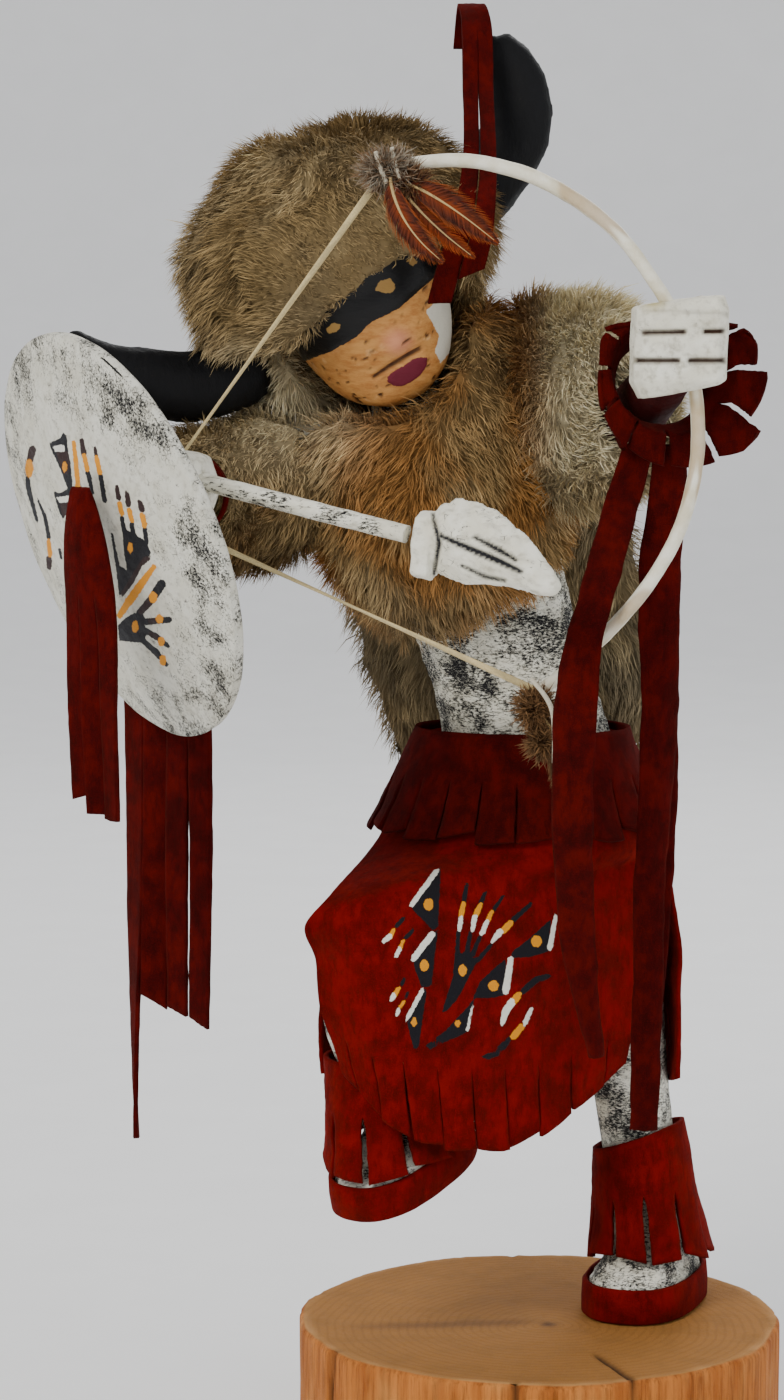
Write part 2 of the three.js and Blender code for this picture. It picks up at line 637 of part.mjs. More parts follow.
function frontApron() {
  const face = apronFace([192, 270, 352], layer(1), [
    [[-54.5, -39, 121.5], [-41, -45.5, 123.5], [-21, -38.5, 124], [4, -28.5, 123], [26, -14, 124]],
    [[-61.8, -42, 113.5], [-46, -49, 115], [-22, -42.5, 115], [4, -30, 114], [27, -15, 116]],
    [[-59, -41, 104.5], [-45, -49.5, 104.5], [-21, -43.5, 104], [4, -31, 104], [26.5, -15.5, 105]],
    [[-57.5, -40, 92], [-42, -48, 89], [-20, -43, 87], [2, -31, 86], [24.5, -16, 88]],
    [[-52, -39, 75], [-38, -45, 61], [-18, -41, 54], [3, -31, 58.5], [21, -18, 73]],
  ]);
  return fringedSuede({ face, strips: 10, cut: 0.84, bandRows: 6, stripRows: 1, slit: 0.07,
    reach: (k) => 0.95 + 0.05 * Math.sin(k * 3.1), outward: -1 });
}

function backApron() {
  const face = apronFace([-5, 90, 188], layer(0), [
    [[36.8, -3, 105], [28, 22, 105], [-8, 27, 105], [-40, 15, 105], [-57, -16, 103]],
    [[36.8, -4, 64], [28.5, 25, 60], [-8, 30, 58], [-42, 17, 62], [-58, -18, 70]],
  ]);
  return fringedSuede({ face, strips: 9, cut: 0.82, bandRows: 5, stripRows: 1, slit: 0.07,
    reach: (k) => 0.94 + 0.06 * Math.sin(k * 2.3), outward: -1 });
}

// Gaiter: a fringed sleeve of suede that flares from a shin over the instep. Its top may slope, and its
// hem follows the tilt of the foot.
function gaiter({ top, bottom, heading, hem, slope = 0, tilt = 0 }) {
  const face = (u, v) => {
    const angle = 2 * Math.PI * u;
    const [x, y, z, wide, deep] = top.map((value, n) => value + (bottom[n] - value) * v);
    const lift = hem * Math.abs(Math.sin(angle)) * v;
    const aside = (wide * unit + gap) * Math.cos(angle);
    const back = (deep * unit + gap) * Math.sin(angle);
    const point = at(x, y, z + lift);
    point.x += -heading[1] * aside - heading[0] * back;
    point.y += heading[0] * aside - heading[1] * back;
    point.z += slope * aside * (1 - v) + tilt * back * v;
    return point;
  };
  return fringedSuede({ face, strips: 10, cut: 0.45, bandRows: 1, stripRows: 2, slit: 0.12, closed: true,
    reach: (k) => 0.92 + 0.08 * Math.sin(k * 2.7), outward: -1 });
}

// Cuff of the bow arm. Its fringe splays to both sides and hangs below, and is short behind the fist.
function bowCuff() {
  const reachAt = (angle) => 7.4 + 7 * Math.max(0, Math.cos(angle + 0.75))
    - 13 * Math.max(0, Math.sin(angle) - 0.4);
  const face = (u, v) => {
    const angle = 2 * Math.PI * u;
    const flare = Math.max(0, v - 0.25) / 0.75;
    const radius = 10.8 * unit + gap + reachAt(angle) * unit * flare;
    const forward = Math.min(v * 1.8, 1);
    const middle = at(25 + 3 * forward, -57 - 9 * forward, 250.5 + 5.5 * forward);
    middle.z -= 3 * unit * Math.max(0, -Math.sin(angle)) * flare ** 2;
    return middle.add(new THREE.Vector3(radius * Math.cos(angle), 0, radius * Math.sin(angle)));
  };
  return fringedSuede({ face, strips: 12, cut: 0.42, bandRows: 2, stripRows: 2, slit: 0.18, closed: true,
    reach: (k) => 0.88 + 0.12 * Math.sin(k * 1.9 + 1), outward: -1 });
}

// Cuff of the drawing arm, with the long fringe that hangs behind the shield
function drawingCuff() {
  const ring = (u, v) => {
    const angle = 2 * Math.PI * u;
    const radius = 9.2 * unit + gap;
    const spoke = new THREE.Vector3(radius * Math.cos(angle), 0, radius * Math.sin(angle));
    return at(-91, -46 - 9 * v, 224).add(spoke);
  };
  const band = fringedSuede({ face: ring, strips: 10, bandRows: 1, slit: 0.01, closed: true, outward: -1 });
  const lengths = [1, 0.72, 0.74, 0.76];
  const hanging = (u, v) => at(-108 + 23 * u, -33 - 18 * u, 205 + 11 * u * u - v * (148 + 11 * u * u));
  const fringe = fringedSuede({ face: hanging, strips: 4, cut: 0.12, bandRows: 1, stripRows: 4, slit: 0.1,
    reach: (k) => lengths[k], tip: (k) => (k === 0 ? 0.3 : 0.8) });
  return joined([band, fringe]);
}

// Long suede strips from the bow arm's cuff
const longStrips = {
  front: { route: [[21, -61.5, 237], [19, -62.5, 229], [16, -67, 221], [11, -81, 205], [6.6, -91, 192],
    [4.4, -93, 176], [4, -88, 148], [6, -78, 115], [11, -73, 86]],
  widths: [7, 7.5, 8, 8.5, 9, 10, 9.5, 8, 3], lean: -0.2 },
  rear: { route: [[29, -61, 237], [28.6, -60, 223], [27, -59, 208], [27, -58, 193], [27.4, -55, 173],
    [26.4, -53, 147], [25.5, -51, 122], [25, -49, 62]],
  widths: [8.5, 9.6, 10.2, 10.2, 10, 9, 7.6, 6.2], lean: 0.25 },
  middle: { route: [[30, -55, 230], [28.5, -52, 205], [28, -46, 150], [27, -43, 115], [27.5, -42, 86]],
    widths: [7, 7.5, 9, 8, 3], lean: 0.1 },
};

function longStrip({ route, widths, lean }) {
  const across = new THREE.Vector3(1, lean, 0).normalize();
  return fringedSuede({ face: routedFace(route, widths, across), strips: 1, bandRows: 9 });
}

// Suede tied over the tip of the horn, two strips of it falling past the hood
function hornDrape() {
  const route = [[-20.5, 12, 338], [-19.3, 5, 348.2], [-17.8, -4, 343], [-17.5, -13, 326], [-17.5, -30, 307],
    [-19.4, -45.5, 292], [-22.4, -50, 281], [-25, -52, 271.5]];
  const widths = [6, 6.5, 7.6, 8, 9, 11, 12.5, 12.5];
  const face = routedFace(route, widths, toRight);
  return fringedSuede({ face, strips: 2, cut: 0.3, bandRows: 5, stripRows: 6, slit: 0.12,
    reach: (k) => [1, 0.84][k] });
}

// Feather: a thin pointed vane with its quill, from root to tip
function feather({ root, middle, end, halfWidth, facing }) {
  const points = [];
  const stations = 5;
  const curve = new THREE.QuadraticBezierCurve3(at(...root), at(...middle), at(...end));
  const half = vaneThickness / 2;
  const front = new THREE.Vector3(...facing).normalize();
  for (let i = 0; i <= stations; i += 1) {
    const t = i / stations;
    const along = curve.getTangent(t);
    const side = new THREE.Vector3().crossVectors(along, front).normalize();
    const spread = halfWidth * unit * Math.max(0.12, Math.sin(Math.PI * Math.min(0.96, t ** 0.7 + 0.06)));
    const middlePoint = curve.getPoint(t);
    for (const [across, lift] of [[-1, 0], [0, 1], [1, 0], [0, -1]]) {
      points.push(middlePoint.clone().addScaledVector(side, across * spread)
        .addScaledVector(front, lift * half + (across ? -0.15 * spread : 0)));
    }
  }
  const triangles = [];
  for (let i = 0; i < stations; i += 1) {
    for (let k = 0; k < 4; k += 1) {
      const [a, b] = [4 * i + k, 4 * i + (k + 1) % 4];
      triangles.push([a, b, b + 4], [a, b + 4, a + 4]);
    }
  }
  const last = 4 * stations;
  triangles.push([0, 2, 1], [0, 3, 2], [last, last + 1, last + 2], [last, last + 2, last + 3]);
  return closedGeometry(points, triangles);
}

function quill(root, middle, end) {
  return rod([root, middle, end], quillThickness, 3, 4);
}

function upperFeathers() {
  const fluff = limb({
    stations: [[-44, -81, 299, 4, 4], [-39.5, -82, 303, 6.5, 5.5], [-34, -81, 303, 4, 4]],
    steps: 3, sides: 7, relief: tufts(0.9, 6),
  });
  return joined([
    fluff,
    feather({ root: [-36, -84, 300], middle: [-28, -86, 296], end: [-15.5, -85, 286.5], halfWidth: 6.2,
      facing: [0, -1, 0] }),
    feather({ root: [-40, -84.6, 301], middle: [-38.6, -88, 290], end: [-28.6, -86, 283], halfWidth: 5.4,
      facing: [0, -1, 0] }),
    quill([-41, -84, 306], [-40.6, -86.6, 297], [-36, -87.4, 291]),
  ]);
}

function lowerFeathers() {
  const fluff = limb({
    stations: [[-7, -81, 181, 3.6, 3.6], [-4, -82, 176, 6.2, 5], [-3, -82, 168, 5.4, 4.4]],
    steps: 3, sides: 7, relief: tufts(0.9, 6),
  });
  return joined([
    fluff,
    feather({ root: [-2, -83, 172], middle: [2, -84, 164], end: [0.5, -82, 153], halfWidth: 4.6,
      facing: [0, -1, 0] }),
    quill([-6, -84, 182], [-1, -86.4, 174], [-0.6, -85, 162]),
  ]);
}

// The group of named pieces
const doll = new THREE.Group();
function add(name, piece, colour, roughness = 0.8) {
  const geometry = piece.isBufferGeometry ? piece : toGeometry(piece);
  const material = new THREE.MeshStandardMaterial({ color: colour, roughness, metalness: 0 });
  const mesh = new THREE.Mesh(geometry, material);
  mesh.name = name;
  doll.add(mesh);
}

const paintedWhite = '#dcd8c8';
const hornBlack = '#17161a';
const furBrown = '#7d6a4a';
const suedeRed = '#6e0d0a';
const strawColour = '#cbbd92';

add('log_base', logBase(), '#b9773e');
add('body', bodySolid(), paintedWhite);
const hollow = {
  body: bodySolid(gap),
  head: headSolid(gap),
  bowArm: bowArmSolid(gap),
  bow: bowSolid(gap),
  arrow: arrowSolid(gap),
  string: stringSolid(gap),
};
const furRoom = {
  trunk: trunkRoom(1.5 * furClearance),
  head: headSolid(furClearance, 10, 6),
  bowArm: bowArmSolid(furClearance, 6, 4),
  drawingArm: drawingArmSolid(furClearance, 6, 4),
  rightHorn: rightHornSolid(gap),
  leftHorn: leftHornSolid(gap),
  hood: hoodSolid(gap),
  mantle: mantleSolid(gap),
};
add('head', cutBy(headSolid(), [hollow.body]), '#c9965c');
add('bow_arm', cutBy(bowArmSolid(), [hollow.body]), paintedWhite);
add('bow_fist', cutBy(bowFistSolid(), [hollow.bow, hollow.bowArm]), paintedWhite);
add('drawing_arm', cutBy(drawingArmSolid(), [hollow.body, hollow.arrow, hollow.string, shieldBack()]),
  paintedWhite);
add('horn_right', cutBy(rightHornSolid(), [hollow.head]), hornBlack, 0.6);
add('horn_left', cutBy(leftHornSolid(), [hollow.head]), hornBlack, 0.6);
add('fur_hood', cutBy(hoodSolid(), [furRoom.head, hoodOpening(), furRoom.trunk, furRoom.rightHorn,
  furRoom.leftHorn, furRoom.drawingArm]), furBrown, 1);
const underMantle = [furRoom.hood, furRoom.head, furRoom.trunk, furRoom.leftHorn, furRoom.bowArm,
  furRoom.drawingArm];
add('fur_mantle', cutBy(mantleSolid(), underMantle), furBrown, 1);
add('fur_bow_sleeve', cutBy(bowSleeveSolid(), [furRoom.mantle, ...underMantle]), furBrown, 1);
add('fur_drawing_sleeve', cutBy(drawingSleeveSolid(), [furRoom.mantle, ...underMantle]), furBrown, 1);
add('fur_cape', cutBy(capeSolid(), [furRoom.mantle, ...underMantle, bowSleeveSolid(gap),
  drawingSleeveSolid(gap)]), furBrown, 1);
add('bow', bowSolid(), '#e5e0cf', 0.5);
add('bowstring', cutBy(stringSolid(), [hollow.bow]), strawColour);
add('arrow_shaft', arrowSolid(), paintedWhite);
add('arrow_head', cutBy(arrowHeadSolid(), [hollow.arrow]), paintedWhite);
add('shield', shieldSolid(), paintedWhite);
add('shield_tassel', shieldTassel(), suedeRed, 1);
add('belt', belt(), suedeRed, 1);
add('apron_front', frontApron(), suedeRed, 1);
add('apron_back', backApron(), suedeRed, 1);
add('gaiter_standing', gaiter({ top: [27, 8, 48.3, 10.9, 11.6], bottom: [31, 13, 13.5, 13.8, 17.5],
  heading: soles[0].heading, hem: 7, slope: 0.36 }), suedeRed, 1);
add('gaiter_raised', gaiter({ top: [-43.8, -27.4, 77, 12.2, 12.2], bottom: [-36.5, -22.5, 52, 14.4, 20],
  heading: soles[1].heading, hem: 5, tilt: 0.27 }), suedeRed, 1);
add('sole_band_standing', soleBand(soles[0]), suedeRed, 1);
add('sole_band_raised', soleBand(soles[1]), suedeRed, 1);
add('bow_cuff', bowCuff(), suedeRed, 1);
add('drawing_cuff', drawingCuff(), suedeRed, 1);
for (const [place, sizes] of Object.entries(longStrips)) {
  add(`strip_${place}`, longStrip(sizes), suedeRed, 1);
}
add('horn_drape', hornDrape(), suedeRed, 1);
add('feathers_upper', cutBy(upperFeathers(), [hollow.bow, stringSolid()]), '#7a3416', 0.7);
add('feathers_lower', cutBy(lowerFeathers(), [hollow.bow, stringSolid()]), '#4e3624', 0.7);

export default doll;
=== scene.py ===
import math

import bpy
import numpy as np
from mathutils import Matrix, Vector
from mathutils.kdtree import KDTree


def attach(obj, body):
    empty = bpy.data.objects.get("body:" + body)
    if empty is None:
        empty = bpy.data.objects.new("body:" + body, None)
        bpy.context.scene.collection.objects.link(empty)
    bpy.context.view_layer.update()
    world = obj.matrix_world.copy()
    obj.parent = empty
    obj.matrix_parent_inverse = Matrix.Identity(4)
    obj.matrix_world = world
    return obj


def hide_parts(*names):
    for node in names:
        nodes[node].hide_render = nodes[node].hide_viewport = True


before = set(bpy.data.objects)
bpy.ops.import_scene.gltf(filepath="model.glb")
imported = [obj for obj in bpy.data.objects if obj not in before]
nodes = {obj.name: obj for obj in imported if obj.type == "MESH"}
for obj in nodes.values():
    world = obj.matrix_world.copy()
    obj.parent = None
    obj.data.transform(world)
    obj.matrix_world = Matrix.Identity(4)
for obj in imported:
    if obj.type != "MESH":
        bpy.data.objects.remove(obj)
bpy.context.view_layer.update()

# All shapes below are worked out in millimetres in the part's own frame and stored in metres.
# Heights of the figure count from the top of the log, as `at` says.
LOG_TOP = 45.0
SUEDE = 1.2
GAP = 0.3


def at(x, y, z):
    return np.array([x, y, z + LOG_TOP], float)


def shown(name, data):
    made = bpy.data.objects.new(name, data)
    bpy.context.scene.collection.objects.link(made)
    return made


def unit_rows(a):
    return a / np.maximum(np.linalg.norm(a, axis=-1, keepdims=True), 1e-9)


# Camera: the photograph's view, 6.3 degrees down, with its focal length in photograph pixels
PITCH = math.radians(6.3)
FOCAL = 3708.0
IMAGE = (784, 1400)
EYE = np.array([-39.6, -975.76, 319.63])


def to_photo(points):
    """Where points of the model fall in the photograph, in its pixels."""
    d = points - EYE
    ahead = d[..., 1] * math.cos(PITCH) - d[..., 2] * math.sin(PITCH)
    rise = d[..., 1] * math.sin(PITCH) + d[..., 2] * math.cos(PITCH)
    return IMAGE[0] / 2 + FOCAL * d[..., 0] / ahead, IMAGE[1] / 2 - FOCAL * rise / ahead


camera = shown("camera", bpy.data.cameras.new("camera"))
camera.data.sensor_width = 36
camera.data.lens = FOCAL * 36 / IMAGE[1]
camera.data.clip_start = 0.05
camera.data.clip_end = 20
camera.location = EYE / 1000
camera.rotation_euler = (math.pi / 2 - PITCH, 0, 0)
bpy.context.scene.camera = camera


def lamp(name, place, target, size, power, colour):
    light = bpy.data.lights.new(name, "AREA")
    light.shape = "DISK"
    light.size = size
    light.energy = power
    light.color = colour
    lamp_object = shown(name, light)
    lamp_object.location = place
    aim = Vector(target) - Vector(place)
    lamp_object.rotation_euler = aim.to_track_quat("-Z", "Y").to_euler()


lamp("key", (-0.75, -1.1, 1.15), (-0.03, -0.02, 0.22), 0.55, 14.0, (1.0, 0.965, 0.91))
lamp("fill", (1.1, -0.9, 0.55), (0, 0, 0.2), 0.9, 4.0, (0.93, 0.96, 1.0))
lamp("rim", (0.4, 1.2, 1.2), (0, 0, 0.25), 0.8, 9.0, (1.0, 1.0, 1.0))

world = bpy.data.worlds.new("studio")
world.use_nodes = True
world.node_tree.nodes["Background"].inputs["Color"].default_value = (0.95, 0.96, 1.0, 1)
world.node_tree.nodes["Background"].inputs["Strength"].default_value = 0.75
bpy.context.scene.world = world


# Noise and smooth rows
def lattice(ix, iy, iz, seed):
    n = (ix * 73856093) ^ (iy * 19349663) ^ (iz * 83492791) ^ (seed * 15485863)
    n = (n ^ (n >> 13)) * 1274126177
    n = (n ^ (n >> 16)) & 0xFFFFFF
    return n / 0x7FFFFF - 1.0


def value_noise(p, size, seed):
    q = np.asarray(p, float) / size + 31.7 * seed
    cell = np.floor(q).astype(np.int64)
    f = q - cell
    f = f * f * (3 - 2 * f)
    total = 0
    for dx in (0, 1):
        for dy in (0, 1):
            for dz in (0, 1):
                step = np.array([dx, dy, dz])
                weight = np.prod(np.where(step, f, 1 - f), axis=-1)
                total = total + weight * lattice(*np.moveaxis(cell + step, -1, 0), seed)
    return total


def layered_noise(p, size, seed, octaves=3):
    total, share = 0, 1.0
    for octave in range(octaves):
        total = total + share * value_noise(p, size / 2 ** octave, seed + octave)
        share *= 0.5
    return total


def cubic(before, a, b, after, f):
    return ((2 * f ** 3 - 3 * f ** 2 + 1) * a + (f ** 3 - 2 * f ** 2 + f) * (b - before) / 2
            + (3 * f ** 2 - 2 * f ** 3) * b + (f ** 3 - f ** 2) * (after - a) / 2)


def step_of(t, last):
    """Which step of a row t lies in, and how far into it."""
    place = np.clip(t, 0, 1) * last
    i = np.minimum(np.floor(place).astype(int), last - 1)
    return i, place - i


def smooth_row(values, t):
    """Smooth curve through evenly spaced values at t from 0 to 1; values are (n,) or (n, k)."""
    values = np.asarray(values, float)
    last = len(values) - 1
    i, f = step_of(t, last)
    a, b = values[i], values[i + 1]
    before, after = values[np.maximum(i - 1, 0)], values[np.minimum(i + 2, last)]
    if values.ndim > 1:
        f = f[..., None]
    return cubic(before, a, b, after, f)


def smooth_stack(stack, t):
    """The same, where each place has its own row: stack is (..., n, 3) and t is (...)."""
    last = stack.shape[-2] - 1
    i, f = step_of(t, last)

    def pick(index):
        return np.take_along_axis(stack, index[..., None, None].repeat(3, -1), -2)[..., 0, :]

    return cubic(pick(np.maximum(i - 1, 0)), pick(i), pick(i + 1), pick(np.minimum(i + 2, last)),
                 f[..., None])


def groove(distance, width):
    """1 inside a line, fading out over about its width."""
    return np.exp(-(np.maximum(distance, 0) / width) ** 2)


def ring_angles(count):
    return np.linspace(0, 2 * math.pi, count, endpoint=False)


def ease(low, high, value):
    t = np.clip((value - low) / (high - low), 0, 1)
    return t * t * (3 - 2 * t)


# Meshes
def grid_quads(rows, width, around=True, closed=False):
    """Quads of a grid of points, row by row. Rows may run around on themselves, and the last row may join
    the first."""
    r, k = np.meshgrid(np.arange(rows), np.arange(width if around else width - 1), indexing="ij")
    n, m = (k + 1) % width, (r + 1) % rows if closed else r + 1
    return np.stack([r * width + k, r * width + n, m * width + n, m * width + k], -1).reshape(-1, 4)


def fan(centre, start, sides, turned=False):
    """Triangles from a centre to a ring of points."""
    ring = start + np.arange(sides)
    pair = (np.roll(ring, -1), ring) if turned else (ring, np.roll(ring, -1))
    return np.stack([np.full(sides, centre), *pair], -1)


def corner_normals(verts, faces):
    total = np.zeros_like(verts)
    for part in faces:
        if not len(part):
            continue
        part = np.asarray(part)
        if part.shape[1] == 4:
            n = np.cross(verts[part[:, 2]] - verts[part[:, 0]], verts[part[:, 3]] - verts[part[:, 1]])
        else:
            n = np.cross(verts[part[:, 1]] - verts[part[:, 0]], verts[part[:, 2]] - verts[part[:, 0]])
        for column in range(part.shape[1]):
            np.add.at(total, part[:, column], n)
    return unit_rows(total)


def piece(name, verts, faces, material, replaced, attributes=None):
    """A piece of the doll. `faces` is a list of arrays of triangles or quads."""
    mesh = bpy.data.meshes.new(name)
    faces = [np.asarray(part) for part in faces if len(part)]
    loops = np.concatenate([part.reshape(-1) for part in faces])
    sizes = np.concatenate([np.full(len(part), part.shape[1]) for part in faces])
    mesh.vertices.add(len(verts))
    mesh.vertices.foreach_set("co", (np.asarray(verts) / 1000).astype(np.float32).reshape(-1))
    mesh.loops.add(len(loops))
    mesh.loops.foreach_set("vertex_index", loops.astype(np.int32))
    mesh.polygons.add(len(sizes))
    starts = np.concatenate([[0], np.cumsum(sizes)[:-1]])
    mesh.polygons.foreach_set("loop_start", starts.astype(np.int32))
    mesh.polygons.foreach_set("use_smooth", np.full(len(sizes), True))
    mesh.update(calc_edges=True)
    mesh.validate()
    for key, values in (attributes or {}).items():
        values = np.asarray(values, np.float32)
        if values.ndim == 1:
            layer = mesh.attributes.new(key, "FLOAT", "POINT")
            layer.data.foreach_set("value", values)
        else:
            layer = mesh.attributes.new(key, "FLOAT_COLOR", "POINT")
            rgba = np.concatenate([values, np.ones((len(values), 1), np.float32)], axis=1)
            layer.data.foreach_set("color", rgba.reshape(-1))
    mesh.materials.append(material)
    made = shown(name, mesh)
    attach(made, "root")
    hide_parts(*replaced)
    return made


def refined(node, voxel, smoothing):
    """A CAD node's form with fine, even faces, as points and quads; the node isn't changed."""
    copy = shown("refining", nodes[node].data.copy())
    remesh = copy.modifiers.new("remesh", "REMESH")
    remesh.mode = "VOXEL"
    remesh.voxel_size = voxel / 1000
    soften = copy.modifiers.new("soften", "SMOOTH")
    soften.factor = 0.5
    soften.iterations = smoothing
    shape = copy.evaluated_get(bpy.context.evaluated_depsgraph_get()).to_mesh()
    verts = np.empty(len(shape.vertices) * 3)
    shape.vertices.foreach_get("co", verts)
    quads = np.empty(len(shape.loops), np.int32)
    shape.loops.foreach_get("vertex_index", quads)
    bpy.data.objects.remove(copy)
    return verts.reshape(-1, 3) * 1000, quads.reshape(-1, 4)


def tube(route, radii, sides, steps, flatten=1.0, twist=0.0, across=(0, 0, 1)):
    """Round or flattened rod along a smooth route."""
    t = np.linspace(0, 1, steps + 1)
    centre = smooth_row(route, t)
    along = unit_rows(np.gradient(centre, axis=0))
    side = unit_rows(np.cross(along, np.asarray(across, float)))
    front = np.cross(side, along)
    angle = ring_angles(sides)[None, :] + 0 * t[:, None]
    turn = (twist * t)[:, None]
    radius = smooth_row(radii, t)[:, None]
    a, b = radius * np.cos(angle), radius * flatten * np.sin(angle)
    a, b = a * np.cos(turn) - b * np.sin(turn), a * np.sin(turn) + b * np.cos(turn)
    verts = centre[:, None] + a[..., None] * side[:, None] + b[..., None] * front[:, None]
    verts = np.concatenate([verts.reshape(-1, 3), centre[:1], centre[-1:]])
    last = steps * sides
    caps = [fan(len(verts) - 2, 0, sides), fan(len(verts) - 1, last, sides, turned=True)]
    return outward(verts, [grid_quads(steps, sides)[:, ::-1], *caps])


def strands(base, middle, tip, side, share=1.0):
    """Flat, pointed strands. `side` is half a strand's width, and `share` what is left of it halfway."""
    points = np.stack([base - side, base + side, middle - side * share, middle + side * share, tip], 1)
    start = (np.arange(len(base)) * 5)[:, None]
    return points.reshape(-1, 3), [start + np.array([[0, 1, 3, 2]]), start + np.array([[2, 3, 4]])]


def outward(verts, faces):
    """Turns a closed shape's faces outwards."""
    volume = 0.0
    for part in faces:
        for tri in ([0, 1, 2], [0, 2, 3])[: part.shape[1] - 2]:
            a, b, c = (verts[part[:, i]] for i in tri)
            volume += float((a * np.cross(b, c)).sum())
    return verts, faces if volume > 0 else [part[:, ::-1] for part in faces]


def merged(*shapes):
    verts, faces, start = [], [], 0
    for some_verts, some_faces in shapes:
        verts.append(some_verts)
        faces += [np.asarray(part) + start for part in some_faces]
        start += len(some_verts)
    return np.concatenate(verts), faces


# Materials
def srgb(r, g, b):
    """Linear colour from 0 to 255 values as they look on a screen."""
    return tuple(((v / 255 + 0.055) / 1.055) ** 2.4 if v > 10 else v / 255 / 12.92 for v in (r, g, b))


class Nodes:
    """Short ways to wire a material's nodes. Lengths in the patterns are in millimetres."""

    def __init__(self, name):
        self.material = bpy.data.materials.new(name)
        self.material.use_nodes = True
        self.tree = self.material.node_tree
        self.shader = self.tree.nodes["Principled BSDF"]
        coordinates = self.node("TexCoord")
        scale = self.node("VectorMath", operation="SCALE")
        scale.inputs["Scale"].default_value = 1000
        self.tree.links.new(coordinates.outputs["Object"], scale.inputs[0])
        self.mm = scale.outputs[0]

    def node(self, kind, **settings):
        made = self.tree.nodes.new("ShaderNode" + kind)
        for key, value in settings.items():
            setattr(made, key, value)
        return made

    def link(self, value, socket):
        if isinstance(value, (int, float)):
            socket.default_value = value
        elif isinstance(value, tuple):
            colour = len(value) == 3 and len(socket.default_value) == 4
            socket.default_value = (*value, 1) if colour else value
        else:
            self.tree.links.new(value, socket)

    def stretched(self, x, y, z):
        node = self.node("VectorMath", operation="MULTIPLY")
        self.tree.links.new(self.mm, node.inputs[0])
        node.inputs[1].default_value = (x, y, z)
        return node.outputs[0]

    def noise(self, size, detail=3.0, roughness=0.55, vector=None):
        node = self.node("TexNoise")
        self.tree.links.new(vector or self.mm, node.inputs["Vector"])
        node.inputs["Scale"].default_value = 1 / size
        node.inputs["Detail"].default_value = detail
        node.inputs["Roughness"].default_value = roughness
        return node.outputs["Fac"]

    def cells(self, size, vector):
        """Distance to the edges between cells."""
        node = self.node("TexVoronoi", feature="DISTANCE_TO_EDGE")
        self.tree.links.new(vector, node.inputs["Vector"])
        node.inputs["Scale"].default_value = 1 / size
        return node.outputs["Distance"]

    def spread(self, value, low, high, to_low=0.0, to_high=1.0):
        node = self.node("MapRange", interpolation_type="SMOOTHSTEP")
        self.link(value, node.inputs["Value"])
        for key, number in (("From Min", low), ("From Max", high), ("To Min", to_low), ("To Max", to_high)):
            node.inputs[key].default_value = number
        return node.outputs["Result"]

    def sum(self, operation, a, b=0.0):
        node = self.node("Math", operation=operation)
        self.link(a, node.inputs[0])
        self.link(b, node.inputs[1])
        return node.outputs[0]

    def mix(self, share, a, b):
        node = self.node("Mix", data_type="RGBA")
        self.link(share, node.inputs[0])
        self.link(a, node.inputs[6])
        self.link(b, node.inputs[7])
        return node.outputs[2]

    def value(self, name, output="Fac"):
        return self.node("Attribute", attribute_name=name).outputs[output]

    def colour(self, name):
        return self.value(name, "Color")

    def finish(self, colour, roughness, bump=None, depth=0.2, specular=0.5, sheen=0.0, sheen_tint=(1, 1, 1)):
        """bump is a height from 0 to 1 that stands for `depth` millimetres."""
        self.link(colour, self.shader.inputs["Base Color"])
        self.link(roughness, self.shader.inputs["Roughness"])
        self.shader.inputs["Specular IOR Level"].default_value = specular
        if sheen:
            self.shader.inputs["Sheen Weight"].default_value = sheen
            self.shader.inputs["Sheen Roughness"].default_value = 0.45
            self.shader.inputs["Sheen Tint"].default_value = (*sheen_tint, 1)
        if bump is not None:
            node = self.node("Bump")
            node.inputs["Strength"].default_value = 1.0
            node.inputs["Distance"].default_value = depth / 1000
            self.link(bump, node.inputs["Height"])
            self.tree.links.new(node.outputs["Normal"], self.shader.inputs["Normal"])
        return self.material


def painted(nodes_, ground, layers):
    """Lays the painted shapes over a ground. Each layer is an attribute that holds the distance to the
    nearest shape of a colour, in photograph pixels, and its colour."""
    waver = nodes_.spread(nodes_.noise(0.9, 3), 0.2, 0.8, -0.55, 0.55)
    total = 0.0
    for name, tint in layers:
        mask = nodes_.spread(nodes_.sum("ADD", nodes_.value(name), waver), 0.35, -0.35)
        ground = nodes_.mix(mask, ground, tint)
        total = nodes_.sum("MAXIMUM", total, mask)
    return ground, total


BLACK, BROWN = (0.012, 0.012, 0.015), (0.032, 0.016, 0.015)
ORANGE, IVORY = (0.72, 0.28, 0.012), (0.78, 0.77, 0.68)


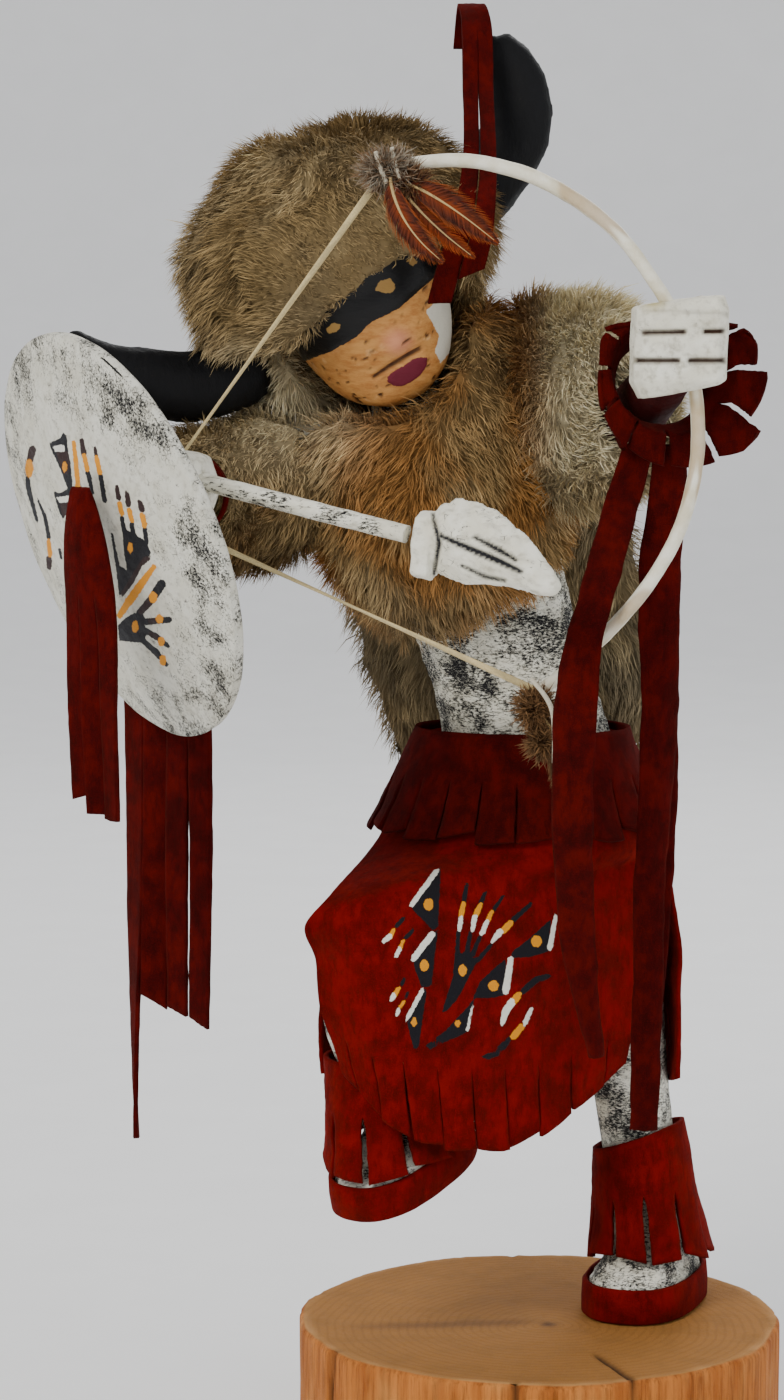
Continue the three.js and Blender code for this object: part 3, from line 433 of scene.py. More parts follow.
def white_paint(name, rubbed=0.5, grain=(1, 1, 1), layers=(), grey=0.0, marks=()):
    """White paint brushed over black, worn to black specks and fine cracks. Marks are attributes from 0 to 1
    that lay a colour over the paint."""
    n = Nodes(name)
    along = n.stretched(*grain)
    tone = n.mix(n.spread(n.noise(9, 4), 0.3, 0.7), srgb(243, 241, 226), srgb(224, 220, 200))
    tone = n.mix(n.spread(n.noise(1.9, 4, vector=along), 0.45, 0.8, 0, 0.8), tone, srgb(172, 166, 146))
    if grey:
        tone = n.mix(grey, tone, srgb(176, 176, 168))
    patches = n.spread(n.noise(8, 3), 0.28, 0.72, 0.08, -0.08)
    if layers:
        patches = n.sum("ADD", patches, n.value("wear"))
    level = 0.735 - 0.2 * rubbed
    specks = n.sum("ADD", n.noise(0.62, 7, 0.82, vector=along), patches)
    worn = n.spread(specks, level - 0.025, level + 0.025)
    crackle = n.sum("SUBTRACT", n.noise(2.4, 3, vector=along), n.sum("MULTIPLY", n.cells(1.5, along), 3.2))
    crackle = n.sum("ADD", crackle, patches)
    worn = n.sum("MAXIMUM", worn, n.spread(crackle, level - 0.10, level + 0.02, 0, 0.75))
    ground = n.mix(worn, tone, srgb(26, 25, 26))
    if layers:
        ground, _ = painted(n, ground, layers)
    for key, tint in marks:
        ground = n.mix(n.value(key), ground, tint)
    height = n.sum("SUBTRACT", n.noise(1.6, 5, 0.7, vector=along), n.sum("MULTIPLY", worn, 0.5))
    roughness = n.spread(n.noise(3, 3), 0.3, 0.7, 0.6, 0.8)
    return n.finish(ground, roughness, height, 0.35, specular=0.22)


def suede(name, low, high, layers=()):
    """Dyed suede: a short nap that is brushed lighter and darker."""
    n = Nodes(name)
    nap = n.noise(0.28, 4, 0.7)
    blotch = n.noise(7, 4, 0.6)
    brushed = n.noise(2.1, 4, 0.65, vector=n.stretched(1, 1, 0.35))
    tone = n.mix(n.spread(blotch, 0.32, 0.68), low, high)
    dark = tuple(0.45 * v for v in low)
    tone = n.mix(n.spread(brushed, 0.25, 0.6, 0.65, 0), tone, dark)
    # The fine nap is speckled with a lighter red, as painted sheen on the fibres
    raised = tuple(1.5 * v + 0.001 for v in high)
    tone = n.mix(n.spread(nap, 0.45, 0.75, 0, 0.45), tone, raised)
    tone = n.mix(n.spread(n.noise(1.4, 2, 0.5), 0.80, 0.86, 0, 0.25), tone, srgb(180, 100, 84))
    height = n.sum("ADD", nap, n.sum("MULTIPLY", brushed, 0.7))
    roughness = 0.92
    if layers:
        tone, total = painted(n, tone, layers)
        roughness = n.spread(total, 0, 1, 0.92, 0.5)
        height = n.sum("ADD", height, n.sum("MULTIPLY", total, 0.7))
    return n.finish(tone, roughness, height, 0.22, specular=0.05, sheen=0.04, sheen_tint=(1.0, 0.3, 0.2))


RED_LOW, RED_HIGH = srgb(84, 6, 3), srgb(118, 11, 5)
red = suede("red_suede", RED_LOW, RED_HIGH)
# A darker copy of the red suede, as painted shade, for the belt, the cuffs, the long strips, the tassel and
# the horn drape
red_painted_shade = suede("red_suede_shaded", srgb(52, 4, 3), srgb(82, 7, 4))
red_painted = suede("red_suede_painted", RED_LOW, RED_HIGH,
                    (("black", BLACK), ("orange", ORANGE), ("white", IVORY)))


def black_paint():
    n = Nodes("black_paint")
    streak = n.noise(1.4, 5, 0.65, vector=n.stretched(1, 1, 0.4))
    tone = n.mix(n.spread(streak, 0.3, 0.75), srgb(7, 7, 8), srgb(17, 17, 19))
    tone = n.mix(n.spread(n.noise(3.4, 6, 0.75), 0.66, 0.72, 0, 0.6), tone, srgb(52, 45, 38))
    return n.finish(tone, n.spread(streak, 0.3, 0.7, 0.5, 0.68), streak, 0.3, specular=0.16)


def fur_material():
    n = Nodes("fur")
    return n.finish(n.colour("tint"), 0.85, specular=0.08, sheen=0.05, sheen_tint=(1.0, 0.9, 0.7))


def tinted(name, roughness, specular=0.3, bump_size=0.6, depth=0.15):
    """Takes its colour from the piece's own tint, with a fine grain."""
    n = Nodes(name)
    grain = n.noise(bump_size, 4, 0.7)
    tone = n.mix(n.spread(grain, 0.3, 0.7, 0.25, 0), n.colour("tint"), (0.02, 0.015, 0.01))
    return n.finish(tone, roughness, grain, depth, specular=specular)


def bow_paint():
    n = Nodes("bow_paint")
    tone = n.mix(n.spread(n.noise(6, 4), 0.35, 0.7), srgb(244, 240, 222), srgb(222, 213, 184))
    tone = n.mix(n.spread(n.value("streak"), 0.45, 0.85, 0, 0.6), tone, srgb(168, 132, 78))
    tone = n.mix(n.spread(n.noise(0.9, 6, 0.8), 0.66, 0.72, 0, 0.85), tone, srgb(60, 50, 38))
    return n.finish(tone, 0.5, n.noise(1.1, 5, 0.7), 0.25, specular=0.45)


def face_material():
    n = Nodes("mask_wood")
    grain = n.noise(2.6, 5, 0.65, vector=n.stretched(0.5, 1, 1.5))
    tone = n.mix(n.spread(grain, 0.3, 0.72), srgb(204, 148, 82), srgb(174, 112, 54))
    tone = n.mix(n.spread(n.value("blush"), 0, 1, 0, 0.7), tone, srgb(214, 140, 112))
    tone = n.mix(n.spread(n.noise(4.5, 3), 0.6, 0.75, 0, 0.4), tone, srgb(232, 196, 146))
    tone = n.mix(n.value("pit"), tone, srgb(74, 42, 20))
    waver = n.spread(n.noise(1.3, 3), 0.2, 0.8, -0.7, 0.7)
    for name, tint in (("white", srgb(214, 210, 194)), ("lips", srgb(104, 26, 44)),
                       ("black", srgb(18, 17, 18)), ("gold", srgb(178, 138, 74))):
        mask = n.spread(n.sum("ADD", n.value(name), waver), 0.4, -0.4)
        tone = n.mix(mask, tone, tint)
    dark = n.spread(n.value("black"), 0.4, -0.4)
    roughness = n.spread(dark, 0, 1, 0.62, 0.36)
    return n.finish(tone, roughness, grain, 0.3, specular=0.25)


def log_side():
    n = Nodes("log_wood")
    streak = n.noise(5.0, 5, 0.6, vector=n.stretched(1, 1, 0.08))
    fine = n.noise(1.0, 5, 0.7, vector=n.stretched(1, 1, 0.06))
    side = n.mix(n.spread(streak, 0.3, 0.7), srgb(200, 124, 58), srgb(160, 88, 34))
    side = n.mix(n.spread(fine, 0.42, 0.7, 0, 0.7), side, srgb(104, 54, 20))
    bright = n.spread(n.noise(12, 3, vector=n.stretched(1, 1, 0.3)), 0.5, 0.75, 0, 0.5)
    side = n.mix(bright, side, srgb(222, 158, 88))
    side = n.mix(n.value("crack"), side, srgb(46, 26, 14))
    # The pith lies off the middle, and the rings wander a little round it
    rings = n.value("rings")
    wander = n.noise(14, 3)
    phase = n.sum("ADD", rings, n.sum("MULTIPLY", wander, 3.2))
    late = n.sum("SINE", n.sum("MULTIPLY", phase, 2.6))
    top = n.mix(n.spread(late, 0.1, 0.98, 0, 0.26), srgb(164, 113, 56), srgb(122, 80, 36))
    top = n.mix(n.spread(n.noise(9, 5, 0.6), 0.4, 0.7, 0, 0.5), top, srgb(140, 98, 50))
    rough = n.noise(0.8, 5, 0.75)
    top = n.mix(n.spread(rough, 0.5, 0.75, 0, 0.3), top, srgb(190, 146, 88))
    top = n.mix(n.value("smear"), top, srgb(86, 60, 40))
    top = n.mix(n.value("rim"), top, srgb(206, 156, 100))
    top = n.mix(n.value("crack"), top, srgb(44, 26, 16))
    tone = n.mix(n.value("is_top"), side, top)
    height = n.sum("ADD", n.sum("MULTIPLY", fine, 0.8), n.sum("MULTIPLY", rough, 0.6))
    return n.finish(tone, n.spread(rough, 0.3, 0.7, 0.6, 0.8), height, 0.5, specular=0.12)


# Painted shapes, in photograph pixels. A shape gives the distance from points to its edge, negative
# inside it.
def to_segment(x, y, dx, dy):
    """Distance to a line from the origin to (dx, dy), and the nearest place along it, from 0 to 1."""
    t = np.clip((x * dx + y * dy) / (dx * dx + dy * dy), 0, 1)
    return np.hypot(x - t * dx, y - t * dy), t


def stroke(*points):
    """Brush stroke through (x, y, half width)."""
    def distance(x, y):
        best = np.full(x.shape, 1e3)
        for (ax, ay, ar), (bx, by, br) in zip(points[:-1], points[1:]):
            away, t = to_segment(x - ax, y - ay, bx - ax, by - ay)
            best = np.minimum(best, away - (ar + t * (br - ar)))
        return best
    return distance


def polygon(*points):
    def distance(x, y):
        best = np.full(x.shape, 1e3)
        inside = np.zeros(x.shape, bool)
        for (ax, ay), (bx, by) in zip(points, points[1:] + points[:1]):
            dx, dy = bx - ax, by - ay
            best = np.minimum(best, to_segment(x - ax, y - ay, dx, dy)[0])
            inside ^= ((ay > y) != (by > y)) & (x < dx * (y - ay) / (dy if dy else 1e-9) + ax)
        return np.where(inside, -best, best)
    return distance


def dot(cx, cy, rx, ry):
    return lambda x, y: (np.hypot((x - cx) / rx, (y - cy) / ry) - 1) * min(rx, ry)


def paint(points, facing, shapes, origin, scale):
    """Distance attributes of the colours at a piece's points, for shapes drawn at a larger scale."""
    x, y = to_photo(points)
    x, y = (x - origin[0]) * scale, (y - origin[1]) * scale
    result = {}
    for colour, several in shapes.items():
        nearest = np.full(len(points), 400.0)
        for shape in several:
            nearest = np.minimum(nearest, shape(x, y))
        result[colour] = np.where(facing, nearest / scale, 60.0)
    return result


# Design on the apron: a fan of feathers between two rows of triangles
APRON_DESIGN = {
    "black": [
        polygon((505, 80), (485, 530), (440, 530), (415, 500), (295, 385), (470, 100)),
        polygon((485, 520), (437, 940), (365, 940), (305, 760), (430, 600)),
        polygon((408, 940), (343, 1392), (315, 1395), (262, 1190), (385, 960)),
        polygon((605, 690), (770, 740), (690, 900), (620, 1030), (545, 1110), (508, 1130),
                (540, 1030), (590, 870)),
        polygon((1290, 455), (1270, 690), (1150, 725), (1015, 735), (1000, 700), (1130, 600)),
        polygon((970, 740), (960, 1000), (850, 1020), (765, 1018), (740, 1030), (715, 1060),
                (785, 900), (870, 820)),
        polygon((745, 1030), (690, 1270), (560, 1320), (430, 1385), (385, 1385), (400, 1355), (540, 1250),
                (650, 1130)),
        stroke((690, 210, 16), (670, 330, 18)), stroke((630, 545, 14), (622, 700, 17)),
        stroke((820, 265, 14), (790, 340, 18)), stroke((715, 555, 14), (688, 705, 17)),
        stroke((950, 290, 10), (885, 385, 16)), stroke((785, 580, 14), (728, 715, 18)),
        stroke((1145, 350, 14), (1020, 465, 20)), stroke((865, 635, 13), (775, 745, 17)),
        stroke((1275, 862, 18), (1180, 890, 24), (1085, 975, 22)),
        stroke((1000, 1310, 22), (900, 1410, 26), (760, 1470, 13)),
        stroke((240, 450, 12), (190, 505, 18)), stroke((310, 530, 12), (255, 590, 17)),
        stroke((250, 875, 10), (225, 925, 14)), stroke((275, 970, 9), (250, 1020, 14)),
    ],
    "orange": [
        dot(418, 352, 36, 44), dot(388, 787, 33, 42), dot(312, 1190, 24, 34), dot(660, 823, 31, 42),
        dot(1187, 615, 38, 43), dot(880, 932, 39, 40), dot(625, 1200, 24, 30),
        stroke((665, 345, 17), (650, 430, 20)), stroke((788, 355, 18), (752, 430, 22)),
        stroke((870, 400, 14), (840, 465, 18)), stroke((1002, 484, 22), (948, 540, 25)),
        stroke((1060, 1000, 26), (1010, 1055, 27)), stroke((1085, 1215, 22), (1022, 1295, 27)),
        stroke((168, 530, 13), (145, 585, 18)), stroke((238, 608, 12), (215, 665, 16)),
        stroke((206, 948, 14), (175, 1000, 19)), stroke((240, 1042, 12), (215, 1090, 16)),
    ],
    "white": [
        stroke((478, 108, 18), (297, 355, 19)), stroke((440, 568, 25), (310, 738, 22)),
        stroke((374, 962, 16), (258, 1180, 13)), stroke((1325, 430, 14), (1280, 665, 20)),
        stroke((1003, 740, 22), (968, 970, 26)), stroke((735, 1052, 8), (695, 1245, 12)),
        stroke((649, 445, 17), (638, 530, 17)), stroke((748, 440, 19), (730, 535, 16)),
        stroke((832, 475, 18), (797, 560, 18)), stroke((925, 550, 26), (868, 618, 12)),
        stroke((1010, 1050, 28), (962, 1120, 26), (942, 1215, 14)),
        stroke((1155, 1085, 13), (1100, 1205, 20)),
        stroke((140, 580, 20), (98, 615, 16)), stroke((210, 670, 18), (184, 725, 13)),
        stroke((168, 1000, 20), (152, 1030, 16)), stroke((206, 1098, 16), (190, 1138, 12)),
    ],
}

# Design on the shield: feathers, two stepped forms, a wing and a hand
SHIELD_DESIGN = {
    "black": [
        stroke((105, 350, 15), (112, 420, 15), (128, 480, 14), (165, 612, 9)),
        stroke((165, 475, 5), (210, 580, 11), (235, 712, 13)),
        polygon((238, 135), (280, 122), (305, 105), (322, 75), (342, 95), (352, 200), (366, 260),
                (380, 430),
                (350, 418), (300, 290), (245, 170)),
        polygon((262, 430), (300, 440), (345, 418), (376, 428), (360, 480), (345, 560), (318, 600),
                (300, 560),
                (270, 470)),
        stroke((470, 318, 16), (498, 440, 10)), stroke((546, 338, 15), (571, 488, 14)),
        stroke((675, 588, 13), (690, 680, 13)), stroke((735, 628, 15), (745, 700, 15)),
        stroke((812, 655, 14), (825, 740, 13)), stroke((298, 780, 8), (310, 835, 8)),
        polygon((605, 672), (622, 690), (662, 878), (706, 906), (688, 800), (676, 650), (720, 670),
                (812, 725),
                (836, 762), (855, 812), (800, 850), (745, 940), (700, 1010), (660, 1075), (640, 900)),
        polygon((650, 1240), (700, 1190), (750, 1163), (800, 1170), (812, 1200), (815, 1260), (822, 1310),
                (790, 1345), (660, 1332)),
        stroke((915, 990, 28), (860, 1075, 26), (780, 1165, 20)), stroke((962, 1205, 19), (820, 1218, 20)),
        stroke((955, 1365, 12), (890, 1312, 20), (805, 1262, 16)),
        stroke((945, 1478, 11), (880, 1400, 20), (800, 1330, 16)),
    ],
    "brown": [
        stroke((135, 178, 23), (122, 240, 21)), stroke((236, 838, 20), (236, 900, 13)),
        polygon((276, 192), (342, 186), (350, 200), (362, 262), (350, 330), (318, 320)),
        polygon((300, 505), (352, 500), (345, 560), (318, 590)),
        stroke((433, 122, 13), (445, 202, 18)), stroke((512, 167, 9), (520, 215, 13)),
        stroke((643, 400, 11), (656, 472, 16)), stroke((705, 437, 13), (715, 510, 18)),
        stroke((782, 492, 14), (796, 540, 21)),
        polygon((850, 812), (852, 836), (795, 885), (745, 985), (678, 1072), (664, 1050), (705, 985),
                (800, 832)),
        stroke((840, 1100, 22), (790, 1155, 18)), stroke((850, 1212, 17), (880, 1210, 17)),
        stroke((850, 1290, 15), (885, 1312, 16)),
    ],
    "orange": [
        dot(116, 292, 26, 56), stroke((233, 728, 13), (241, 812, 16)), dot(330, 283, 15, 32),
        stroke((383, 130, 11), (400, 280, 15), (412, 425, 16)), stroke((447, 215, 14), (466, 298, 15)),
        stroke((522, 225, 14), (542, 318, 15)), stroke((660, 503, 15), (675, 565, 15)),
        stroke((718, 543, 15), (735, 608, 15)), stroke((798, 572, 17), (812, 638, 17)),
        dot(725, 770, 16, 34),
        stroke((870, 882, 15), (790, 992, 24), (718, 1095, 27)), stroke((700, 1120, 22), (662, 1180, 18)),
        dot(863, 1070, 27, 36), dot(902, 1200, 24, 29), dot(912, 1335, 22, 30), dot(922, 1450, 22, 34),
        dot(755, 1247, 20, 37),
    ],
    "white": [
        polygon((256, 158), (325, 148), (333, 190), (271, 192)),
        polygon((279, 466), (362, 455), (354, 496), (298, 499)),
    ],
}


# Suede
def fringed(face, strips, cut, across, band_rows, strip_rows, slit=0.1, closed=False, reach=None, tip=None,
            slant=0.0, ragged=0.12, seed=1):
    """A single sheet, cut into strips below a band, as points, quads and each point's place on it.
    `face` maps shares across and down, from 0 to 1, to points. `tip` is each strip's end width as a share
    and `slant` how far its end is cut askew."""
    rng = np.random.default_rng(seed)
    pitch = 1 / strips
    columns = strips * across
    width = columns if closed else columns + 1
    us = np.arange(width) / columns
    vs = np.linspace(0, cut, band_rows + 1)
    u, v = np.meshgrid(us, vs)
    places = [np.stack([u, v, 0 * u, 0 * u], -1).reshape(-1, 4)]
    quads = [grid_quads(band_rows, width, around=closed)]
    start = width * (band_rows + 1)
    for k in range(strips if strip_rows else 0):
        long = 1.0 if reach is None else reach(k)
        narrow = 1.0 if tip is None else tip(k)
        askew = slant * rng.uniform(-1, 1)
        share = np.arange(1, strip_rows + 1)[:, None] / strip_rows
        side = np.linspace(-0.5, 0.5, across + 1)[None, :]
        down = cut + (1 - cut) * share * (long + askew * side * share ** 3)
        opened = 1 - slit * np.minimum(1, share * 4)
        closing = 1 + (narrow - 1) * (share ** 2 if narrow > 0.6 else np.clip(share * 2.2 - 1.2, 0, 1))
        spot = np.stack(np.broadcast_arrays(np.sign(side) * 40, share * 30, k * 7.0), -1)
        wander = ragged * pitch * 0.12 * layered_noise(spot, 2.0, seed + 5)
        u = (k + 0.5 + side * opened * closing) * pitch + wander * (abs(side) > 0.45)
        place = np.broadcast_arrays(u, down, share, k + 0.5 + 0.98 * side)
        places.append(np.stack(place, -1).reshape(-1, 4))
        top = band_rows * width + (k * across + np.arange(across + 1)) % width
        added = start + np.arange(strip_rows * (across + 1))
        quads.append(np.concatenate([top, added])[grid_quads(strip_rows, across + 1, around=False)])
        start += len(added)
    places = np.concatenate(places)
    u = places[:, 0] % 1 if closed else np.clip(places[:, 0], 0, 1)
    return face(u, np.clip(places[:, 1], 0, 1)), np.concatenate(quads), places


def thickened(verts, quads, centre=None):
    """Gives a sheet its two sides and its cut edges. The outer side comes second."""
    normals = corner_normals(verts, [quads])
    if centre is not None and float((normals * (verts - centre)).sum()) < 0:
        quads, normals = quads[:, ::-1], -normals
    count = len(verts)
    half = normals * SUEDE / 2
    edges = np.concatenate([quads[:, [i, (i + 1) % 4]] for i in range(4)])
    forward = edges[:, 0].astype(np.int64) * count + edges[:, 1]
    backward = edges[:, 1].astype(np.int64) * count + edges[:, 0]
    rim = edges[~np.isin(forward, backward)]
    faces = np.concatenate([
        quads + count, quads[:, ::-1],
        np.stack([rim[:, 1] + count, rim[:, 0] + count, rim[:, 0], rim[:, 1]], -1),
    ])
    return np.concatenate([verts - half, verts + half]), faces, normals


def hang(verts, places, normal, amount, curl, seed, sway=0.0):
    """Lets each strip of a fringe swing, curl and twist a little on its own."""
    rng = np.random.default_rng(seed)
    strip_count = int(places[:, 3].max()) + 2
    swing = rng.uniform(-1, 1, strip_count)
    turn = rng.uniform(-1, 1, strip_count)
    aside = rng.uniform(-1, 1, strip_count)
    k = np.clip(places[:, 3].astype(int), 0, strip_count - 1)
    down = places[:, 2]
    side = places[:, 3] - k - 0.5
    bend = down ** 1.6
    shift = amount * (0.55 + 0.45 * swing[k]) * bend + curl * turn[k] * side * 2 * np.minimum(1, down * 1.5)
    ripple = 0.25 * amount * np.sin(down * 7 + swing[k] * 3) * down
    return verts + normal * (shift + ripple)[:, None] + np.outer(sway * aside[k] * bend, (1.0, 0.0, 0.0))


KILT_TOP = 160  # over the log


def kilt_point(angle, z, offset):
    """The kilt's surface: an oval that widens as it falls, more at the back and on the left."""
    fall = (KILT_TOP - z) / 30
    c, s = np.cos(angle), np.sin(angle)
    wide = 24 + np.where(c < 0, 12.5, 9.5) * fall + offset
    deep = 16.8 + np.where(s < 0, 12.9, 5) * fall + offset
    return np.stack([-5 + wide * c, deep * s, z + LOG_TOP + 0 * angle], -1)


def layer(n):
    """How far out the middle of the n-th sheet over the wood lies."""
    return GAP + n * (SUEDE + GAP) + SUEDE / 2


def flat_size(verts, quads):
    """Area of a single-layer sheet, in square metres."""
    a, b, c, d = (verts[quads[:, i]] for i in range(4))
    return float(np.linalg.norm(np.cross(c - a, d - b), axis=1).sum() / 2) / 1e6


def suede_piece(name, verts, quads, flat, material=None, centre=None, design=None,
                declared=True):
    """A sheet with its two sides. `flat`, its size before it was bent, is not used."""
    solid, faces, normals = thickened(verts, quads, centre)
    fuzz = 0.10 * value_noise(solid, 0.7, 3)
    solid = solid + np.concatenate([-normals, normals]) * fuzz[:, None]
    attributes = None
    if design:
        outer = np.arange(len(solid)) >= len(verts)
        attributes = paint(solid, outer, *design)
    node = name.replace("_suede", "")
    made = piece(name, solid, [faces], material or red, (node,), attributes)
    if declared:
        area = flat_size(verts, quads)
    return made


def apron_face(angles, offset, hung):
    waist = (158, 145, 131)
    rows = [np.array([at(*point) for point in row]) for row in hung]

    def face(u, v):
        angle = np.radians(smooth_row(angles, u))
        stack = [kilt_point(angle, z, offset) for z in waist] + [smooth_row(row, u) for row in rows]
        return smooth_stack(np.stack(stack, -2), v)
    return face


def wrinkled(verts, quads, size, height, seed, share=1.0):
    normals = corner_normals(verts, [quads])
    return verts + normals * (height * share * layered_noise(verts, size, seed))[:, None]


def make_aprons():
    front = apron_face([192, 270, 352], layer(1), [
        [(-54.5, -39, 121.5), (-41, -45.5, 123.5), (-21, -38.5, 124), (4, -28.5, 123), (26, -14, 124)],
        [(-61.8, -42, 113.5), (-46, -49, 115), (-22, -42.5, 115), (4, -30, 114), (27, -15, 116)],
        [(-59, -41, 104.5), (-45, -49.5, 104.5), (-21, -43.5, 104), (4, -31, 104), (26.5, -15.5, 105)],
        [(-57.5, -40, 92), (-42, -48, 89), (-20, -43, 87), (2, -31, 86), (24.5, -16, 88)],
        [(-52, -39, 75), (-38, -45, 61), (-18, -41, 54), (3, -31, 58.5), (21, -18, 73)],
    ])
    verts, quads, places = fringed(front, 10, 0.9, 13, 84, 12, slit=0.04, slant=0.16,
                                   reach=lambda k: 0.95 + 0.05 * math.sin(k * 3.1), seed=11)
    normals = corner_normals(verts, [quads])
    low = ease(0.3, 0.7, places[:, 1])
    verts = verts + normals * (0.9 * low * layered_noise(verts, 19, 4))[:, None]
    verts = hang(verts, places, np.array([0.1, -1.0, 0.0]), -1.2, 0.9, 12, 0.4)
    suede_piece("apron_front_suede", verts, quads, (100, 118), red_painted,
                np.array([-5.0, 0.0, 140.0]), (APRON_DESIGN, (370, 855), 7.125))
    back = apron_face([-5, 90, 188], layer(0), [
        [(36.8, -3, 105), (28, 22, 105), (-8, 27, 105), (-40, 15, 105), (-57, -16, 103)],
        [(36.8, -4, 64), (28.5, 25, 60), (-8, 30, 58), (-42, 17, 62), (-58, -18, 70)],
    ])
    verts, quads, places = fringed(back, 9, 0.82, 9, 44, 12, slit=0.05, slant=0.16,
                                   reach=lambda k: 0.94 + 0.06 * math.sin(k * 2.3), seed=21)
    verts = wrinkled(verts, quads, 17, 0.9, 6)
    verts = hang(verts, places, np.array([0.0, 1.0, 0.0]), 0.8, 0.9, 22, 0.4)
    suede_piece("apron_back_suede", verts, quads, (135, 120),
                centre=np.array([-5.0, 0.0, 140.0]))


def make_belt():
    def face(u, v):
        return kilt_point(2 * math.pi * u, KILT_TOP - 27 * v, layer(2) + 1.2 * v)
    verts, quads, places = fringed(face, 23, 0.42, 7, 7, 13, slit=0.06, closed=True, slant=0.2,
                                   reach=lambda k: 0.93 + 0.07 * math.sin(k * 2.4), seed=31)
    angle = 2 * math.pi * places[:, 0]
    out = np.stack([np.cos(angle), np.sin(angle), 0 * angle], -1)
    verts = verts + out * (0.35 * layered_noise(verts, 9, 8))[:, None]
    verts = hang(verts, places, out, 0.7, 0.7, 32, 0.2)
    suede_piece("belt_suede", verts, quads, (180, 30), red_painted_shade,
                centre=np.array([-5.0, 0.0, 190.0]))


def make_gaiter(name, top, bottom, heading, hem, seed, flat, slope=0.0, tilt=0.0):
    top, bottom = np.array(top, float), np.array(bottom, float)

    def face(u, v):
        angle = 2 * math.pi * u
        x, y, z, wide, deep = (top[i] + (bottom[i] - top[i]) * v for i in range(5))
        lift = hem * np.abs(np.sin(angle)) * v
        aside = (wide + GAP + SUEDE / 2) * np.cos(angle)
        back = (deep + GAP + SUEDE / 2) * np.sin(angle)
        return np.stack([
            x - heading[1] * aside - heading[0] * back,
            y + heading[0] * aside - heading[1] * back,
            z + lift + LOG_TOP + slope * aside * (1 - v) + tilt * back * v,
        ], -1)
    verts, quads, places = fringed(face, 10, 0.45, 10, 12, 17, slit=0.16, closed=True, slant=0.3,
                                   reach=lambda k: 0.92 + 0.08 * math.sin(k * 2.7), seed=seed)
    centre = np.array(at(*((top + bottom)[:3] / 2)))
    out = verts - centre
    out[:, 2] = 0
    out = unit_rows(out)
    verts = verts + out * (0.4 * layered_noise(verts, 10, seed))[:, None]
    verts = hang(verts, places, out, 0.9, 0.8, seed + 1, 0.3)
    suede_piece(name, verts, quads, flat, centre=centre)


# Each sole's centre, heading, half length, half width and pitch; the bands' height
SOLES = {
    "standing": ((29.5, 13.5, GAP), (-0.34, -0.94), 23.5, 13.5, 0),
    "raised": ((-36, -22.5, 43), (-0.575, -0.818), 23, 12.2, 15),
}
BAND = 9.2


def make_sole_bands():
    for name, (centre, heading, half_length, half_width, pitch) in SOLES.items():
        # How far out and how high: a band that bulges a little, with rounded edges
        profile = [(GAP, 0.0), (GAP, BAND), (GAP + 0.5, BAND), (GAP + SUEDE, BAND - 0.5),
                   (GAP + SUEDE + 0.2, BAND / 2), (GAP + SUEDE, 0.5), (GAP + 0.7, 0.0)]
        turns = 96
        angle = ring_angles(turns)
        c, s = np.cos(angle), np.sin(angle)
        verts = []
        for grow, height in profile:
            flare = 1.02 - 0.02 * height / BAND
            forward = (half_length * flare + grow) * np.sign(c) * np.abs(c) ** 0.8
            aside = (half_width * flare + grow) * np.sign(s) * np.abs(s) ** 0.8
            verts.append(np.stack([forward, aside, height + 0 * c], -1))
        verts = np.array(verts)
        out = verts * np.array([1, 1, 0])
        lumps = 0.25 * layered_noise(verts + half_length, 8, 3) \
            * (np.array([g > GAP + 0.6 for g, _ in profile])[:, None])
        verts = (verts + unit_rows(out) * lumps[..., None]).reshape(-1, 3)
        spin = Matrix.Rotation(math.atan2(heading[1], heading[0]), 3, "Z") \
            @ Matrix.Rotation(math.radians(pitch), 3, "Y")
        verts = verts @ np.array(spin).T + at(*centre)
        verts, faces = outward(verts, [grid_quads(len(profile), turns, closed=True)])
        node = "sole_band_" + name
        piece(node + "_suede", verts, faces, red, (node,))


def route_length(route):
    points = smooth_row([at(*point) for point in route], np.linspace(0, 1, 40))
    return float(np.linalg.norm(np.diff(points, axis=0), axis=1).sum())


def routed(route, widths, across):
    route = np.array([at(*point) for point in route])
    across = np.asarray(across, float)

    def face(u, v):
        return smooth_row(route, v) + across * ((u - 0.5) * smooth_row(widths, v))[..., None]
    return face


def make_bow_cuff():
    def face(u, v):
        angle = 2 * math.pi * u
        flare = np.maximum(0, v - 0.25) / 0.75
        down = np.maximum(0, -np.sin(angle))
        reach = 7.4 + 7 * np.maximum(0, np.cos(angle + 0.75)) - 13 * np.maximum(0, np.sin(angle) - 0.4)
        radius = 10.8 + GAP + SUEDE / 2 + reach * flare
        forward = np.minimum(v * 1.8, 1)
        return np.stack([
            25 + 3 * forward + radius * np.cos(angle),
            -57 - 9 * forward,
            250.5 + 5.5 * forward - 3 * down * flare ** 2 + LOG_TOP + radius * np.sin(angle),
        ], -1)
    verts, quads, places = fringed(face, 12, 0.42, 8, 7, 18, slit=0.12, closed=True, slant=0.5,
                                   reach=lambda k: 0.88 + 0.12 * math.sin(k * 1.9 + 1), seed=51)
    verts = hang(verts, places, np.array([0.0, -1.0, -0.2]), 1.6, 2.0, 57, 0.6)
    verts = wrinkled(verts, quads, 9, 0.4, 12)
    suede_piece("bow_cuff_suede", verts, quads, (76, 30), red_painted_shade,
                centre=np.array([27.0, -40.0, 300.0]))


